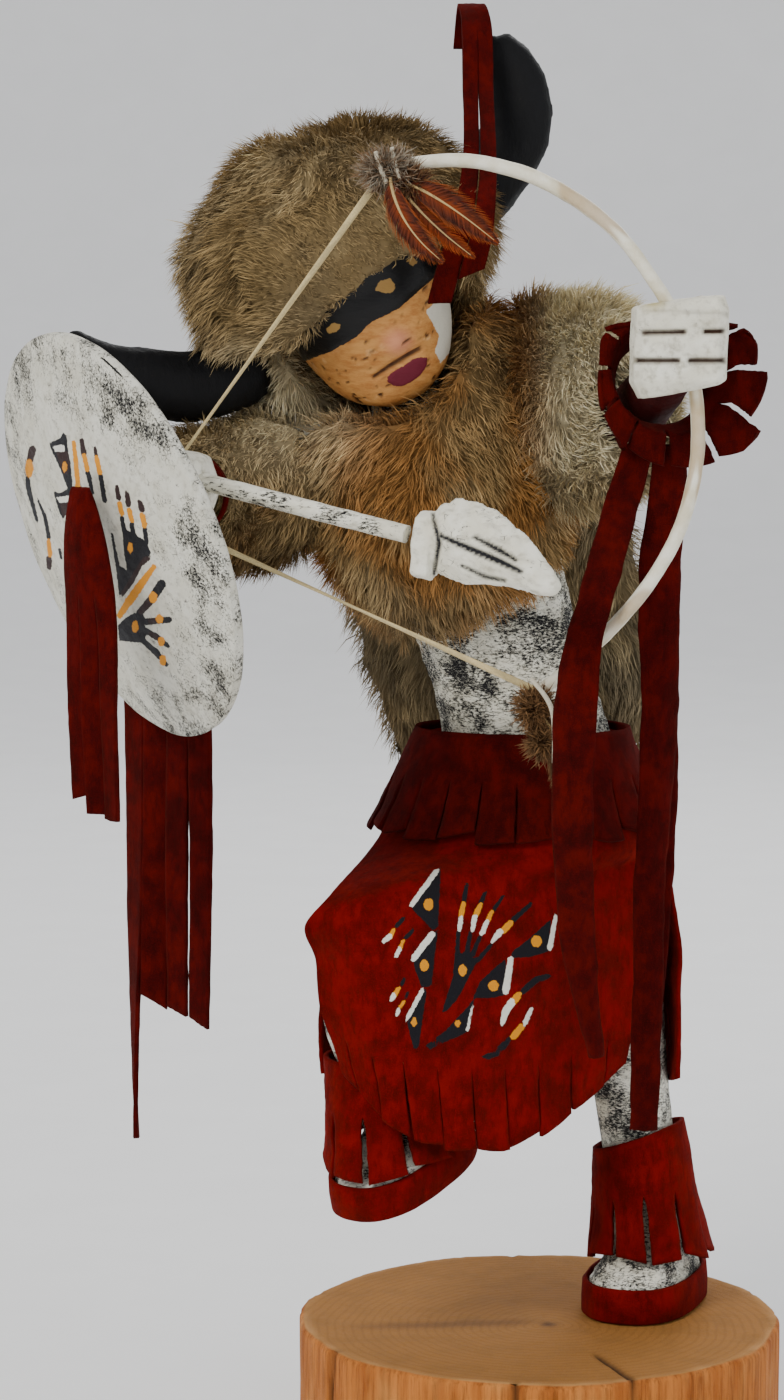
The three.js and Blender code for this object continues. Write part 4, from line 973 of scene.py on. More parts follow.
def make_drawing_cuff():
    def ring(u, v):
        angle = 2 * math.pi * u
        radius = 9.2 + GAP + SUEDE / 2
        return np.stack([-91 + radius * np.cos(angle), -46 - 9 * v,
                         224 + LOG_TOP + radius * np.sin(angle)], -1)

    def hanging(u, v):
        return np.stack([-108 + 23 * u, -33 - 18 * u,
                         205 + 11 * u * u - v * (148 + 11 * u * u) + LOG_TOP], -1)
    lengths, tips = (1, 0.72, 0.74, 0.76), (0.3, 0.8, 0.8, 0.8)
    band = fringed(ring, 1, 1, 48, 6, 0, closed=True)
    fringe = fringed(hanging, 4, 0.12, 9, 8, 48, slit=0.03, slant=0.06, reach=lambda k: lengths[k],
                     tip=lambda k: tips[k], seed=61)
    verts = hang(fringe[0], fringe[2], np.array([-0.6, -0.8, 0.0]), 2.0, 2.4, 66, 1.0)
    fringe_solid, fringe_faces, _ = thickened(verts, fringe[1])
    band_solid, band_faces, _ = thickened(band[0], band[1])
    solid, faces = merged((fringe_solid, [fringe_faces]), (band_solid, [band_faces]))
    solid = solid + 0.08 * layered_noise(solid, 0.9, 3)[:, None]
    piece("drawing_cuff_suede", solid, faces, red_painted_shade, ("drawing_cuff",))


LONG_STRIPS = {
    "strip_front": ([(21, -61.5, 237), (19, -62.5, 229), (16, -67, 221), (11, -81, 205), (6.6, -91, 192),
                     (4.4, -93, 176), (4, -88, 148), (6, -78, 115), (11, -73, 86)],
                    (7, 7.5, 8, 8.5, 9, 10, 9.5, 8, 3), -0.2),
    "strip_rear": ([(29, -61, 237), (28.6, -60, 223), (27, -59, 208), (27, -58, 193), (27.4, -55, 173),
                    (26.4, -53, 147), (25.5, -51, 122), (25, -49, 62)],
                   (8.5, 9.6, 10.2, 10.2, 10, 9, 7.6, 6.2), 0.25),
    "strip_middle": ([(30, -55, 230), (28.5, -52, 205), (28, -46, 150), (27, -43, 115), (27.5, -42, 86)],
                     (7, 7.5, 9, 8, 3), 0.1),
}


def make_strips():
    for number, (name, (route, widths, lean)) in enumerate(LONG_STRIPS.items()):
        across = unit_rows(np.array([1, lean, 0.0]))
        face = routed(route, widths, across)
        verts, quads, places = fringed(face, 1, 1, 12, 110, 0)
        # A strip cups and turns a little along its length
        side = places[:, 0] - 0.5
        down = places[:, 1]
        normals = corner_normals(verts, [quads])
        turn = 1.6 * np.sin(down * 9 + number * 2.1) * side + 1.1 * (4 * side ** 2 - 0.3)
        turn = turn + 0.5 * layered_noise(verts, 14, 70 + number)
        verts = verts + normals * (turn * ease(0, 0.08, down))[:, None]
        verts = verts + np.outer(0.35 * value_noise(verts, 5, 80 + number) * (np.abs(side) > 0.4), across)
        flat = max(widths), route_length(route)
        suede_piece(name + "_suede", verts, quads, flat, red_painted_shade,
                    centre=verts.mean(0) + np.array([0, 40.0, 0]), declared=flat[0] >= 10)


SHIELD_CENTRE = at(-107.1, -70, 214.5)
SHIELD_FRONT = unit_rows(np.array([-0.813, -0.485, -0.322]))
SHIELD_ACROSS = unit_rows(np.cross([0, 0, 1.0], SHIELD_FRONT))
SHIELD_UP = np.cross(SHIELD_FRONT, SHIELD_ACROSS)
SHIELD_RADIUS, SHIELD_RIM, SHIELD_BULGE, TIE_HOLE = 52.5, 3.2, 7.0, 3.2


def on_shield(a, b, out):
    return SHIELD_CENTRE + np.multiply.outer(a, SHIELD_ACROSS) + np.multiply.outer(b, SHIELD_UP) \
        + np.multiply.outer(out, SHIELD_FRONT)


def make_tassel():
    hole = [tuple(on_shield(0.0, 0.0, out) - (0, 0, LOG_TOP)) for out in (-SHIELD_RIM / 2, SHIELD_BULGE + 1)]
    neck = TIE_HOLE * 1.3
    route = [*hole, (-114, -82, 223), (-114, -90, 227), (-113.5, -93, 214), (-112, -93, 195),
                   (-111.5, -92, 172), (-110.5, -91, 148)]
    face = routed(route, (neck, neck, 4.5, 6, 13, 15.5, 15.5, 14.5), (0.8, -0.6, 0))
    verts, quads, places = fringed(face, 3, 0.66, 10, 48, 28, slit=0.06, slant=0.05,
                                   reach=lambda k: (0.88, 0.96, 1)[k], seed=71)
    verts = hang(verts, places, np.array([-0.6, -0.8, 0.0]), 0.8, 1.2, 73, 0.3)
    side, down = places[:, 0] - 0.5, places[:, 1]
    out = np.array([-0.6, -0.8, 0.0])
    verts = verts - np.outer(6.0 * side ** 2 * ease(0.35, 0.6, down) * (1 - 0.5 * places[:, 2]), out)
    suede_piece("shield_tassel_suede", verts, quads, (15.5, route_length(route)),
                red_painted_shade, centre=np.array([-95.0, -60.0, 240.0]))


def make_drape():
    route = [(-20.5, 12, 338), (-19.3, 5, 348.2), (-17.8, -4, 343), (-17.5, -13, 326), (-17.5, -30, 307),
                   (-19.4, -45.5, 292), (-22.4, -50, 281), (-25, -52, 271.5)]
    face = routed(route, (6, 6.5, 7.6, 8, 9, 11, 12.5, 12.5), (1, 0, 0))
    verts, quads, places = fringed(face, 2, 0.3, 10, 30, 66, slit=0.1, slant=0.08,
                                   reach=lambda k: (1, 0.84)[k], seed=81)
    verts = hang(verts, places, np.array([0.0, -1.0, 0.0]), 1.0, 2.2, 83, 0.3)
    side, down = places[:, 0] - 0.5, places[:, 1]
    verts = verts + np.outer(1.4 * np.sin(down * 13) * side * 2 * ease(0.1, 0.3, down), (0, -1.0, 0))
    suede_piece("horn_drape_suede", verts, quads, (12.5, route_length(route)),
                red_painted_shade, centre=np.array([-20.0, 60.0, 330.0]))


# Carved wood
def carved(name, node, voxel, smoothing, material, relief=None, attributes=None):
    verts, quads = refined(node, voxel, smoothing)
    if relief:
        normals = corner_normals(verts, [quads])
        verts = verts + normals * relief(verts)[:, None]
    return piece(name, verts, [quads], material, (node,), attributes(verts) if attributes else None)


def make_wood():
    cuts = (("cut", srgb(58, 34, 20)), ("glue", srgb(176, 158, 72)))
    white = white_paint("white_paint_head", 0.3, (0.5, 1, 0.8),
                        marks=(("cut", BLACK), ("tip", srgb(226, 178, 108))))
    worn = white_paint("white_paint_worn", 1.08, (0.55, 0.8, 1.5))
    bound = white_paint("white_paint_arm", 0.6, marks=(("cut", srgb(58, 5, 4)),))
    hands = white_paint("white_paint_hands", 0.22, marks=cuts)
    arrow = white_paint("white_paint_arrow", 0.78, (0.3, 0.6, 1))
    black = black_paint()

    def knife(points):
        return 0.25 * layered_noise(points * np.array([1, 1, 0.5]), 6, 2)
    carved("body_wood", "body", 1.75, 3, worn, knife)
    # The end of the arm is painted the red of the cuff's binding that goes round it, made dark as painted
    # shade
    carved("bow_arm_wood", "bow_arm", 1.3, 3, bound, knife,
           lambda p: {"cut": ease(-36, -39, p[:, 1])})
    carved("drawing_arm_wood", "drawing_arm", 1.5, 2, hands, knife)
    carved("horn_right_wood", "horn_right", 1.3, 4, black,
           lambda p: 0.22 * layered_noise(p, 7, 5))
    carved("horn_left_wood", "horn_left", 1.3, 4, black,
           lambda p: 0.22 * layered_noise(p, 7, 6))

    fist = np.array([29.6, -79.5, 261.4 + LOG_TOP])

    def finger_cuts(points):
        # Saw cuts between the fingers, on the front, in two rows that break in the middle
        x, y, z = (points - fist).T
        front = ease(3.0, 6.0, -y)
        depth = np.zeros(len(points))
        for level, tilt, ends in ((3.4, 0.02, ((-9.8, 0.8), (5.2, 10.4))),
                                  (-3.4, 0.0, ((-11.5, -0.6), (1.6, 11.6)))):
            near = np.exp(-((z - level - tilt * x) / 0.55) ** 2)
            along = sum(ease(low - 0.6, low + 0.4, x) * ease(high + 0.6, high - 0.4, x)
                        for low, high in ends)
            depth = depth + 1.7 * near * along * front
        crease = np.exp(-((z - 8.2 + 0.05 * x) / 0.4) ** 2) * ease(-11, -9, x) * front * 0.3
        return 0.12 * layered_noise(points, 5, 9) - depth - crease

    def finger_shade(points):
        x, y, z = points.T
        glue = np.exp(-(((x - 22.5) / 3.0) ** 2 + ((z - 317.8) / 2.4) ** 2)) * (y < -80)
        return {"cut": np.clip(-finger_cuts(points) / 1.2, 0, 1), "glue": glue}
    verts, quads = refined("bow_fist", 0.52, 2)
    shades = finger_shade(verts)
    verts = verts + corner_normals(verts, [quads]) * finger_cuts(verts)[:, None]
    piece("bow_fist_wood", verts, [quads], hands, ("bow_fist",), shades)

    def grooves(points):
        x, y = to_photo(points)
        lines = (stroke((441, 536, 1.0), (470, 549, 2.0), (500, 562, 2.2), (521, 572, 1.0)),
                 stroke((474, 537, 0.4), (497, 549, 1.5), (516, 560, 0.5)),
                 stroke((433, 514, 0.3), (439, 543, 1.4), (434, 574, 0.3)),
                 stroke((462, 566, 0.3), (486, 577, 1.0), (505, 581, 0.3)))
        near = np.minimum.reduce([line(x, y) for line in lines])
        return groove(near, 1.3) * (points[:, 1] < -97)

    def knapped(points):
        x, _, z = points.T
        flutes = 0.55 * np.abs(np.sin((x + 0.5 * z) * 0.75)) * ease(256, 264, z) * ease(-30, -26, x)
        return 0.25 * layered_noise(points, 3.2, 14) + flutes - 0.9 * grooves(points)
    carved("arrow_head_wood", "arrow_head", 0.5, 1, white, knapped, lambda p: {
        "cut": grooves(p), "tip": 0.8 * ease(2, 5, p[:, 0])})

    shaft = tube([at(-97, -72.9, 231.4), at(-66.5, -85.7, 224.3), at(-36, -98.5, 217.2)],
                 (2.2, 2.3, 2.25), 28, 60)
    verts = shaft[0]
    normals = corner_normals(verts, shaft[1])
    verts = verts + normals * (0.1 * layered_noise(verts * np.array([0.4, 1, 1]), 2.5, 15) - 0.1)[:, None]
    piece("arrow_shaft_wood", verts, shaft[1], arrow, ("arrow_shaft",))


BOW_ROUTE = [(-41, -80, 304), (-27, -80, 305.6), (-15.2, -80, 304.5), (-2, -80, 300), (12.4, -80, 290.3),
             (21.8, -80, 279), (29.5, -80, 266), (33.2, -80, 252), (34.2, -80, 239.3), (33.1, -80, 228.2),
             (29.6, -80, 216.4), (23.4, -80, 205.2), (16.2, -80, 196), (6, -80, 185.8), (-4, -80, 177.5)]
NOCK = (-100.7, -69.6, 221.1)


def make_bow():
    route = np.array([at(*point) for point in BOW_ROUTE])
    radii = 1.5, 1.75, 1.85, 1.85, 1.8, 1.75, 1.8, 1.8, 1.8, 1.85, 1.8, 1.8, 1.8, 1.75, 1.6
    verts, faces = tube(route, radii, 18, 250, across=(0, 1, 0))
    normals = corner_normals(verts, faces)
    verts = verts + normals * (0.12 * layered_noise(verts, 6, 17) - 0.1)[:, None]
    streak = np.clip(0.5 + 0.9 * value_noise(verts * np.array([0.25, 2.2, 0.25]), 2.6, 18), 0, 1)
    streak = streak * ease(-0.2, 0.6, -(normals[:, 1]))
    piece("bow_wood", verts, faces, bow_paint(), ("bow",), {"streak": streak})

    raffia = tinted("raffia", 0.6, 0.35, 0.5, 0.12)
    shapes = []
    for number, (start, bend, end) in enumerate((((-40.5, -80, 304.2), (-70.6, -74.8, 262.7), NOCK),
                                                 (NOCK, (-52.4, -74.8, 199.5), (-4, -80, 177.8)))):
        route = np.array([at(*point) for point in (start, bend, end)])
        shapes.append(tube(route, (0.95, 0.85, 0.95), 12, 160, flatten=0.45, twist=2.2 + number,
                           across=(0, 1, 0)))
    verts, faces = merged(*shapes)
    fibre = value_noise(verts * np.array([0.1, 3, 0.1]), 0.8, 21)
    tint = np.array(srgb(206, 186, 136)) * (1 + 0.28 * fibre[:, None])
    piece("bowstring_raffia", verts, faces, raffia, ("bowstring",), {"tint": np.clip(tint, 0, 1)})


def make_head():
    profile = [[-31, -9, 7, 6], [-27, -4, 14, 14.5], [-20, -1.5, 18.5, 18.5], [-10, 0, 21.2, 20],
               [4, 0, 21.8, 20.3], [16, 0.5, 20, 19.5], [25, 1, 13, 13], [28, 1, 5, 5]]
    spin = Matrix.Rotation(math.radians(-23), 3, "Y") @ Matrix.Rotation(math.radians(20), 3, "X") \
        @ Matrix.Rotation(math.radians(3), 3, "Z")
    turn = np.array(spin)
    steps, sides = 112, 192
    t = np.linspace(0, 1, steps + 1)[:, None]
    row = smooth_row(profile, t[:, 0])
    angle = ring_angles(sides)[None, :]
    c, s = np.cos(angle), np.sin(angle)
    z, y, wide, deep = (row[:, i][:, None] for i in range(4))
    swell = 1.1 * np.maximum(0, -s) ** 4 * ease(-18, -12, z) * ease(4, -2, z)
    local = np.stack([(wide + swell) * np.sign(c) * np.abs(c) ** 0.85,
                      y + (deep + swell) * np.sign(s) * np.abs(s) ** 0.85, z + 0 * c], -1).reshape(-1, 3)
    local = np.concatenate([local, [[0, -9, -33]], [[0, 1, 30]]])
    verts = local @ turn.T + at(-49, -22, 277.7)
    caps = [fan(len(verts) - 2, 0, sides, turned=True), fan(len(verts) - 1, steps * sides, sides)]
    verts, faces = outward(verts, [grid_quads(steps, sides), *caps])
    normals = corner_normals(verts, faces)
    facing = (normals * unit_rows(EYE - verts)).sum(-1) > 0.05
    x, y = to_photo(verts)

    def read(*shapes):
        nearest = np.full(len(verts), 60.0)
        for shape in shapes:
            nearest = np.minimum(nearest, shape(x, y))
        return np.where(facing, nearest, 60.0)
    mask = polygon((270, 360), (303, 362), (330, 352), (355, 338), (372, 322), (400, 308), (420, 290),
                   (432, 280), (452, 262), (480, 230), (430, 190), (330, 200), (260, 300))(x, y)
    black = np.where(facing, mask, np.where(local[:, 2] > -7, -5.0, 5.0))
    lips = read(polygon((387, 378), (395, 370), (404, 366), (412, 360), (421, 357), (428, 358), (427, 366),
                        (421, 375), (412, 382), (402, 387), (393, 386), (388, 382)))
    white = read(polygon((426, 312), (436, 302), (452, 296), (464, 310), (464, 332), (452, 352), (441, 363),
                         (436, 352), (440, 336), (434, 324)))
    eye = dot(400, 272, 10, 9.5)(x, y)
    gold = read(polygon((374, 290), (380, 281), (390, 278), (396, 287), (392, 293), (383, 293)),
                polygon((406, 262), (412, 256), (418, 262), (413, 266)),
                polygon((326, 329), (334, 322), (342, 325), (336, 332), (328, 334)))
    gold = np.maximum(gold, -eye + 0.5)
    crease = np.where(facing, stroke((374, 378, 0.6), (396, 363, 1.2), (421, 349, 0.5))(x, y), 60)
    crack = read(stroke((352, 398, 0.3), (364, 408, 0.7), (378, 411, 0.3)),
                 stroke((428, 392, 0.3), (436, 384, 0.8), (446, 377, 0.4)))
    bare = ease(-0.5, 1.0, np.minimum(np.minimum(black, lips), white))
    # Short tool pits in rows across the bare wood
    pits = value_noise(local * np.array([0.55, 1, 1.35]), 1.15, 33)
    rows = 0.5 + 0.5 * np.sin(local[:, 2] * 1.5 + 0.5 * local[:, 0])
    pit = ease(0.42, 0.62, pits * (0.6 + 0.4 * rows)) * bare * ease(-2.0, -6.0, local[:, 1])
    nose = 0.9 * np.exp(-((x - 396) / 9) ** 2 - ((y - 346) / 15) ** 2) * facing
    sink = -0.35 * pit - 0.9 * groove(crease, 1.6) - 0.5 * groove(crack, 0.9)
    raised = 0.45 * ease(1.0, -1.5, lips) + 0.35 * ease(1.0, -1.0, black) + nose
    verts = verts + normals * (sink + raised + 0.12 * layered_noise(verts, 5, 35) - 0.3)[:, None]
    dark = np.clip(pit + groove(crease, 1.4) + groove(crack, 0.8), 0, 1)
    blush = np.where(facing, np.exp(-((x - 398) / 16) ** 2 - ((y - 342) / 14) ** 2), 0)
    piece("head_wood", verts, faces, face_material(), ("head",), {
        "black": black, "lips": lips, "white": white, "gold": gold, "pit": dark, "blush": blush})


def make_shield():
    rings, sides = 92, 190
    share = np.linspace(TIE_HOLE / SHIELD_RADIUS, 1, rings + 1)
    profile = [(SHIELD_RADIUS * s, SHIELD_BULGE * (1 - s * s)) for s in share[::-1]][::-1]
    profile += [(SHIELD_RADIUS + 0.0, -0.4), (SHIELD_RADIUS - 0.1, -SHIELD_RIM * 0.5),
                (SHIELD_RADIUS - 0.2, -SHIELD_RIM * 0.75), (SHIELD_RADIUS * 0.985, -SHIELD_RIM * 0.95),
                (SHIELD_RADIUS * 0.96, -SHIELD_RIM)]
    profile += [(SHIELD_RADIUS * s, -SHIELD_RIM) for s in np.linspace(0.9, TIE_HOLE / SHIELD_RADIUS, 10)]
    profile += [(TIE_HOLE, 0.0), (TIE_HOLE, SHIELD_BULGE * 0.5)]
    radius, height = np.array(profile).T
    angle = ring_angles(sides)[None, :]
    a, b = radius[:, None] * np.cos(angle), radius[:, None] * np.sin(angle)
    verts = on_shield(a, b, height[:, None] + 0 * a).reshape(-1, 3)
    verts, faces = outward(verts, [grid_quads(len(profile), sides, closed=True)])
    normals = corner_normals(verts, faces)
    front = (normals @ SHIELD_FRONT) > 0.3
    radial = np.repeat(radius, sides) / SHIELD_RADIUS
    verts = verts + normals * (0.14 * layered_noise(verts, 9, 41) - 0.1)[:, None]
    x, y = to_photo(verts)
    split = stroke((101, 357, 0.2), (140, 390, 0.6), (176, 432, 0.7), (200, 468, 0.5), (213, 501, 0.7),
                   (234, 565, 0.6), (247, 639, 0.2))
    crack = groove(np.where(front, split(x, y), 30), 0.9)
    wear = np.where(front, 0.10 * ease(0.5, 0.88, radial) - 0.05, 0.05)
    wear = wear + 0.07 * ease(0.3, 1.0, radial) * value_noise(verts, 16, 44) * front
    wear = wear + 0.4 * crack
    verts = verts - normals * (0.3 * crack)[:, None]
    attributes = paint(verts, front, SHIELD_DESIGN, (10, 420), 6.033)
    attributes["wear"] = wear
    paints = (("black", BLACK), ("brown", BROWN), ("orange", ORANGE), ("white", IVORY))
    material = white_paint("white_paint_shield", 0.56, (1, 1, 1), paints, grey=0.35)
    piece("shield_wood", verts, faces, material, ("shield",), attributes)


def make_log():
    radius, height = 65.0, LOG_TOP
    sides, levels, rings = 236, 34, 52
    angle = ring_angles(sides)
    flutes = 1 + 0.006 * np.sin(7 * angle) + 0.005 * np.sin(13 * angle + 2)
    rounding = [(0.975, 0.0), (0.99, 0.4), (0.998, 1.2)]
    profile = rounding + [(1.0, h) for h in np.linspace(2.2, height - 2.2, levels)] \
        + [(0.998, height - 1.2), (0.99, height - 0.4), (0.975, height)]
    profile += [(share, height) for share in np.linspace(0.96, 0.02, rings)]
    share, level = np.array(profile).T
    rad = radius * share[:, None] * flutes[None, :]
    verts = np.stack([rad * np.cos(angle), rad * np.sin(angle), level[:, None] + 0 * rad], -1)
    flat = verts.reshape(-1, 3)
    # Splits down the side, and one that runs in over the top
    around = np.degrees(np.arctan2(flat[:, 1], flat[:, 0]))
    out = np.hypot(flat[:, 0], flat[:, 1]) / radius
    crack = np.zeros(len(flat))
    ridge = np.zeros(len(flat))
    for where, width, reach in ((-70, 0.7, 0.6), (-97, 0.7, 0.97), (-149, 0.9, 0.97), (20, 0.8, 0.97),
                                (95, 0.9, 0.97), (160, 0.8, 0.97)):
        wander = 1.4 * value_noise(np.stack([0 * around, 0 * around + where, flat[:, 2]], -1), 9, 55)
        off = (around - where - wander + 180) % 360 - 180
        near = np.exp(-(off * out / width) ** 2) * ease(reach - 0.05, reach + 0.05, out)
        crack = np.maximum(crack, near)
    for where in (-152, -120, -75, -35, 40, 120):
        ridge = ridge + np.exp(-(((around - where + 180) % 360 - 180) / 5) ** 2)
    top = flat[:, 2] > height - 0.2
    outwards = unit_rows(flat * np.array([1, 1, 0]) + 1e-6)
    grain = value_noise(flat * np.array([1, 1, 0.06]), 2.4, 57) * 0.28
    grain = grain + 0.4 * ridge + 0.35 * layered_noise(flat * np.array([1, 1, 0.15]), 12, 58)
    side_share = np.where(top, 0, 1) * ease(0.9, 1.0, out)
    flat = flat + outwards * ((grain - 1.3 * crack - 0.5) * side_share)[:, None]
    sawn = 0.12 * layered_noise(flat, 2.2, 59) - 1.0 * crack - 0.12
    flat = flat + np.outer(sawn * np.where(top, 1, 0), (0, 0, 1.0))
    last = len(profile) - 1
    caps = [fan(len(flat), last * sides, sides), fan(len(flat) + 1, 0, sides, turned=True)]
    flat = np.concatenate([flat, [[0, 0, height - 0.12]], [[0, 0, 0.0]]])
    verts, faces = outward(flat, [grid_quads(last, sides), *caps])
    crack, top = np.append(crack, [0, 0]), np.append(top, [True, False])
    pith = np.array([2.2, -8.5])
    away = np.hypot(*(verts[:, :2] - pith).T)
    bearing = np.arctan2(verts[:, 1] - pith[1], verts[:, 0] - pith[0])
    smear = 0.5 * np.exp(-((verts[:, 1] + 6 - 0.1 * verts[:, 0]) / 3.5) ** 2) * ease(4, -10, verts[:, 0]) \
        * ease(-60, -35, verts[:, 0])
    smear = np.maximum(smear, 0.9 * np.exp(-(away / 2.2) ** 2))
    edge = ease(0.93, 0.985, np.hypot(verts[:, 0], verts[:, 1]) / radius) * 0.8
    piece("log_wood", verts, faces, log_side(), ("log_base",), {
        "crack": np.clip(crack, 0, 1), "is_top": top.astype(float),
        "rings": away + 0.8 * np.sin(bearing * 3), "smear": smear,
        "rim": edge * (0.6 + 0.4 * value_noise(verts, 5, 60))})


# Fur: a pelt surface and tufts of tapered hairs that stand on it
FUR_TONES = {
    "brown": srgb(158, 134, 92), "dark": srgb(104, 84, 56), "rust": srgb(162, 116, 64),
    "cream": srgb(226, 212, 174), "grey": srgb(132, 118, 92), "pale": srgb(206, 184, 138),
}


def tone(name):
    return np.array(FUR_TONES[name])


def blended(base, *layers):
    total = np.array(base) * np.ones((1, 3))
    for share, colour in layers:
        total = total * (1 - share[:, None]) + colour * share[:, None]
    return total


def blob(points, centre, size):
    return np.exp(-(((points - np.array(centre)) / np.array(size)) ** 2).sum(-1))


def fur(name, node, hairs, length, comb, colours, seed, clear=None, voxel=2.2, width=0.3, stand=0.5):
    """clear is a centre and size round which the hairs are short."""
    rng = np.random.default_rng(seed)
    verts, quads = refined(node, voxel, 4)
    normals = corner_normals(verts, [quads])
    verts = verts + normals * (1.3 * layered_noise(verts, 11, seed) - 1.3)[:, None]
    skin_normals = corner_normals(verts, [quads])
    tris = np.concatenate([quads[:, [0, 1, 2]], quads[:, [0, 2, 3]]])
    a, b, c = (verts[tris[:, i]] for i in range(3))
    area = np.linalg.norm(np.cross(b - a, c - a), axis=1)
    chosen = np.searchsorted(np.cumsum(area) / area.sum(), rng.random(hairs))
    s, t = rng.random(hairs), rng.random(hairs)
    flip = s + t > 1
    s, t = np.where(flip, 1 - s, s), np.where(flip, 1 - t, t)
    weights = np.stack([1 - s - t, s, t], 1)
    root = (verts[tris[chosen]] * weights[..., None]).sum(1)
    normal = unit_rows((skin_normals[tris[chosen]] * weights[..., None]).sum(1))

    flow = comb(root)
    flow = flow + 0.8 * np.stack([value_noise(root, 9, seed + 7 + i) for i in range(3)], -1)
    flow = flow - (flow * normal).sum(-1, keepdims=True) * normal
    way = unit_rows(unit_rows(flow) * (1 - stand) + normal * stand)
    way = unit_rows(way + 0.24 * rng.normal(size=(hairs, 3)))
    size = length * (0.65 + 0.5 * rng.random(hairs)) * (1 + 0.25 * value_noise(root, 8, seed + 3))
    guard = rng.random(hairs) < 0.07
    size = np.where(guard, size * 1.35, size)
    if clear:
        size = size * (1 - 0.55 * blob(root, *clear))
    bent = unit_rows(way + 0.35 * unit_rows(comb(root)) + 0.2 * rng.normal(size=(hairs, 3)))
    middle = root + way * (size * 0.5)[:, None]
    tip = middle + bent * (size * 0.5)[:, None]

    # Hairs lean together into soft tufts
    count = hairs // 20
    picks = rng.choice(hairs, count, replace=False)
    tree = KDTree(count)
    for i, point in enumerate(root[picks]):
        tree.insert(point, i)
    tree.balance()
    tuft = np.array([tree.find(point)[1] for point in root])
    pull = (0.1 + 0.35 * rng.random(hairs))[:, None]
    tip = tip * (1 - pull) + tip[picks][tuft] * pull
    middle = middle * (1 - 0.3 * pull) + middle[picks][tuft] * 0.3 * pull

    base = root - normal * 0.7
    aside = unit_rows(np.cross(way, normal))
    roll = rng.normal(0, 0.5, hairs)[:, None]
    aside = unit_rows(aside * np.cos(roll) + normal * np.sin(roll))
    half = (width * (0.7 + 0.6 * rng.random(hairs)) / 2)[:, None]
    pile = strands(base, middle, tip, aside * half, 0.85)

    # Each tuft has its own tone, each hair a dark root, a middle band and a pale tip; the dark root is
    # partly the hair's own banding and partly painted shade deep in the pile
    shade = rng.normal(1.0, 0.10, count)[tuft] * rng.normal(1.0, 0.15, hairs)
    tint = colours(root) * shade[:, None]
    light = np.where(guard, 1.7, 1.1 + 0.3 * rng.random(hairs))[:, None]
    at_root, at_middle, at_tip = tint * 0.45, tint * 0.9, np.clip(tint * light, 0, 0.9)
    hair_tint = np.stack([at_root, at_root, at_middle, at_middle, at_tip], 1).reshape(-1, 3)
    points, faces = merged((verts, [quads]), pile)
    # The pelt surface under the hairs takes half the fur's tint, as painted shade in the pile
    piece(name, points, faces, FUR, (node,), {
        "tint": np.concatenate([colours(verts) * 0.5, hair_tint])})


FUR = fur_material()


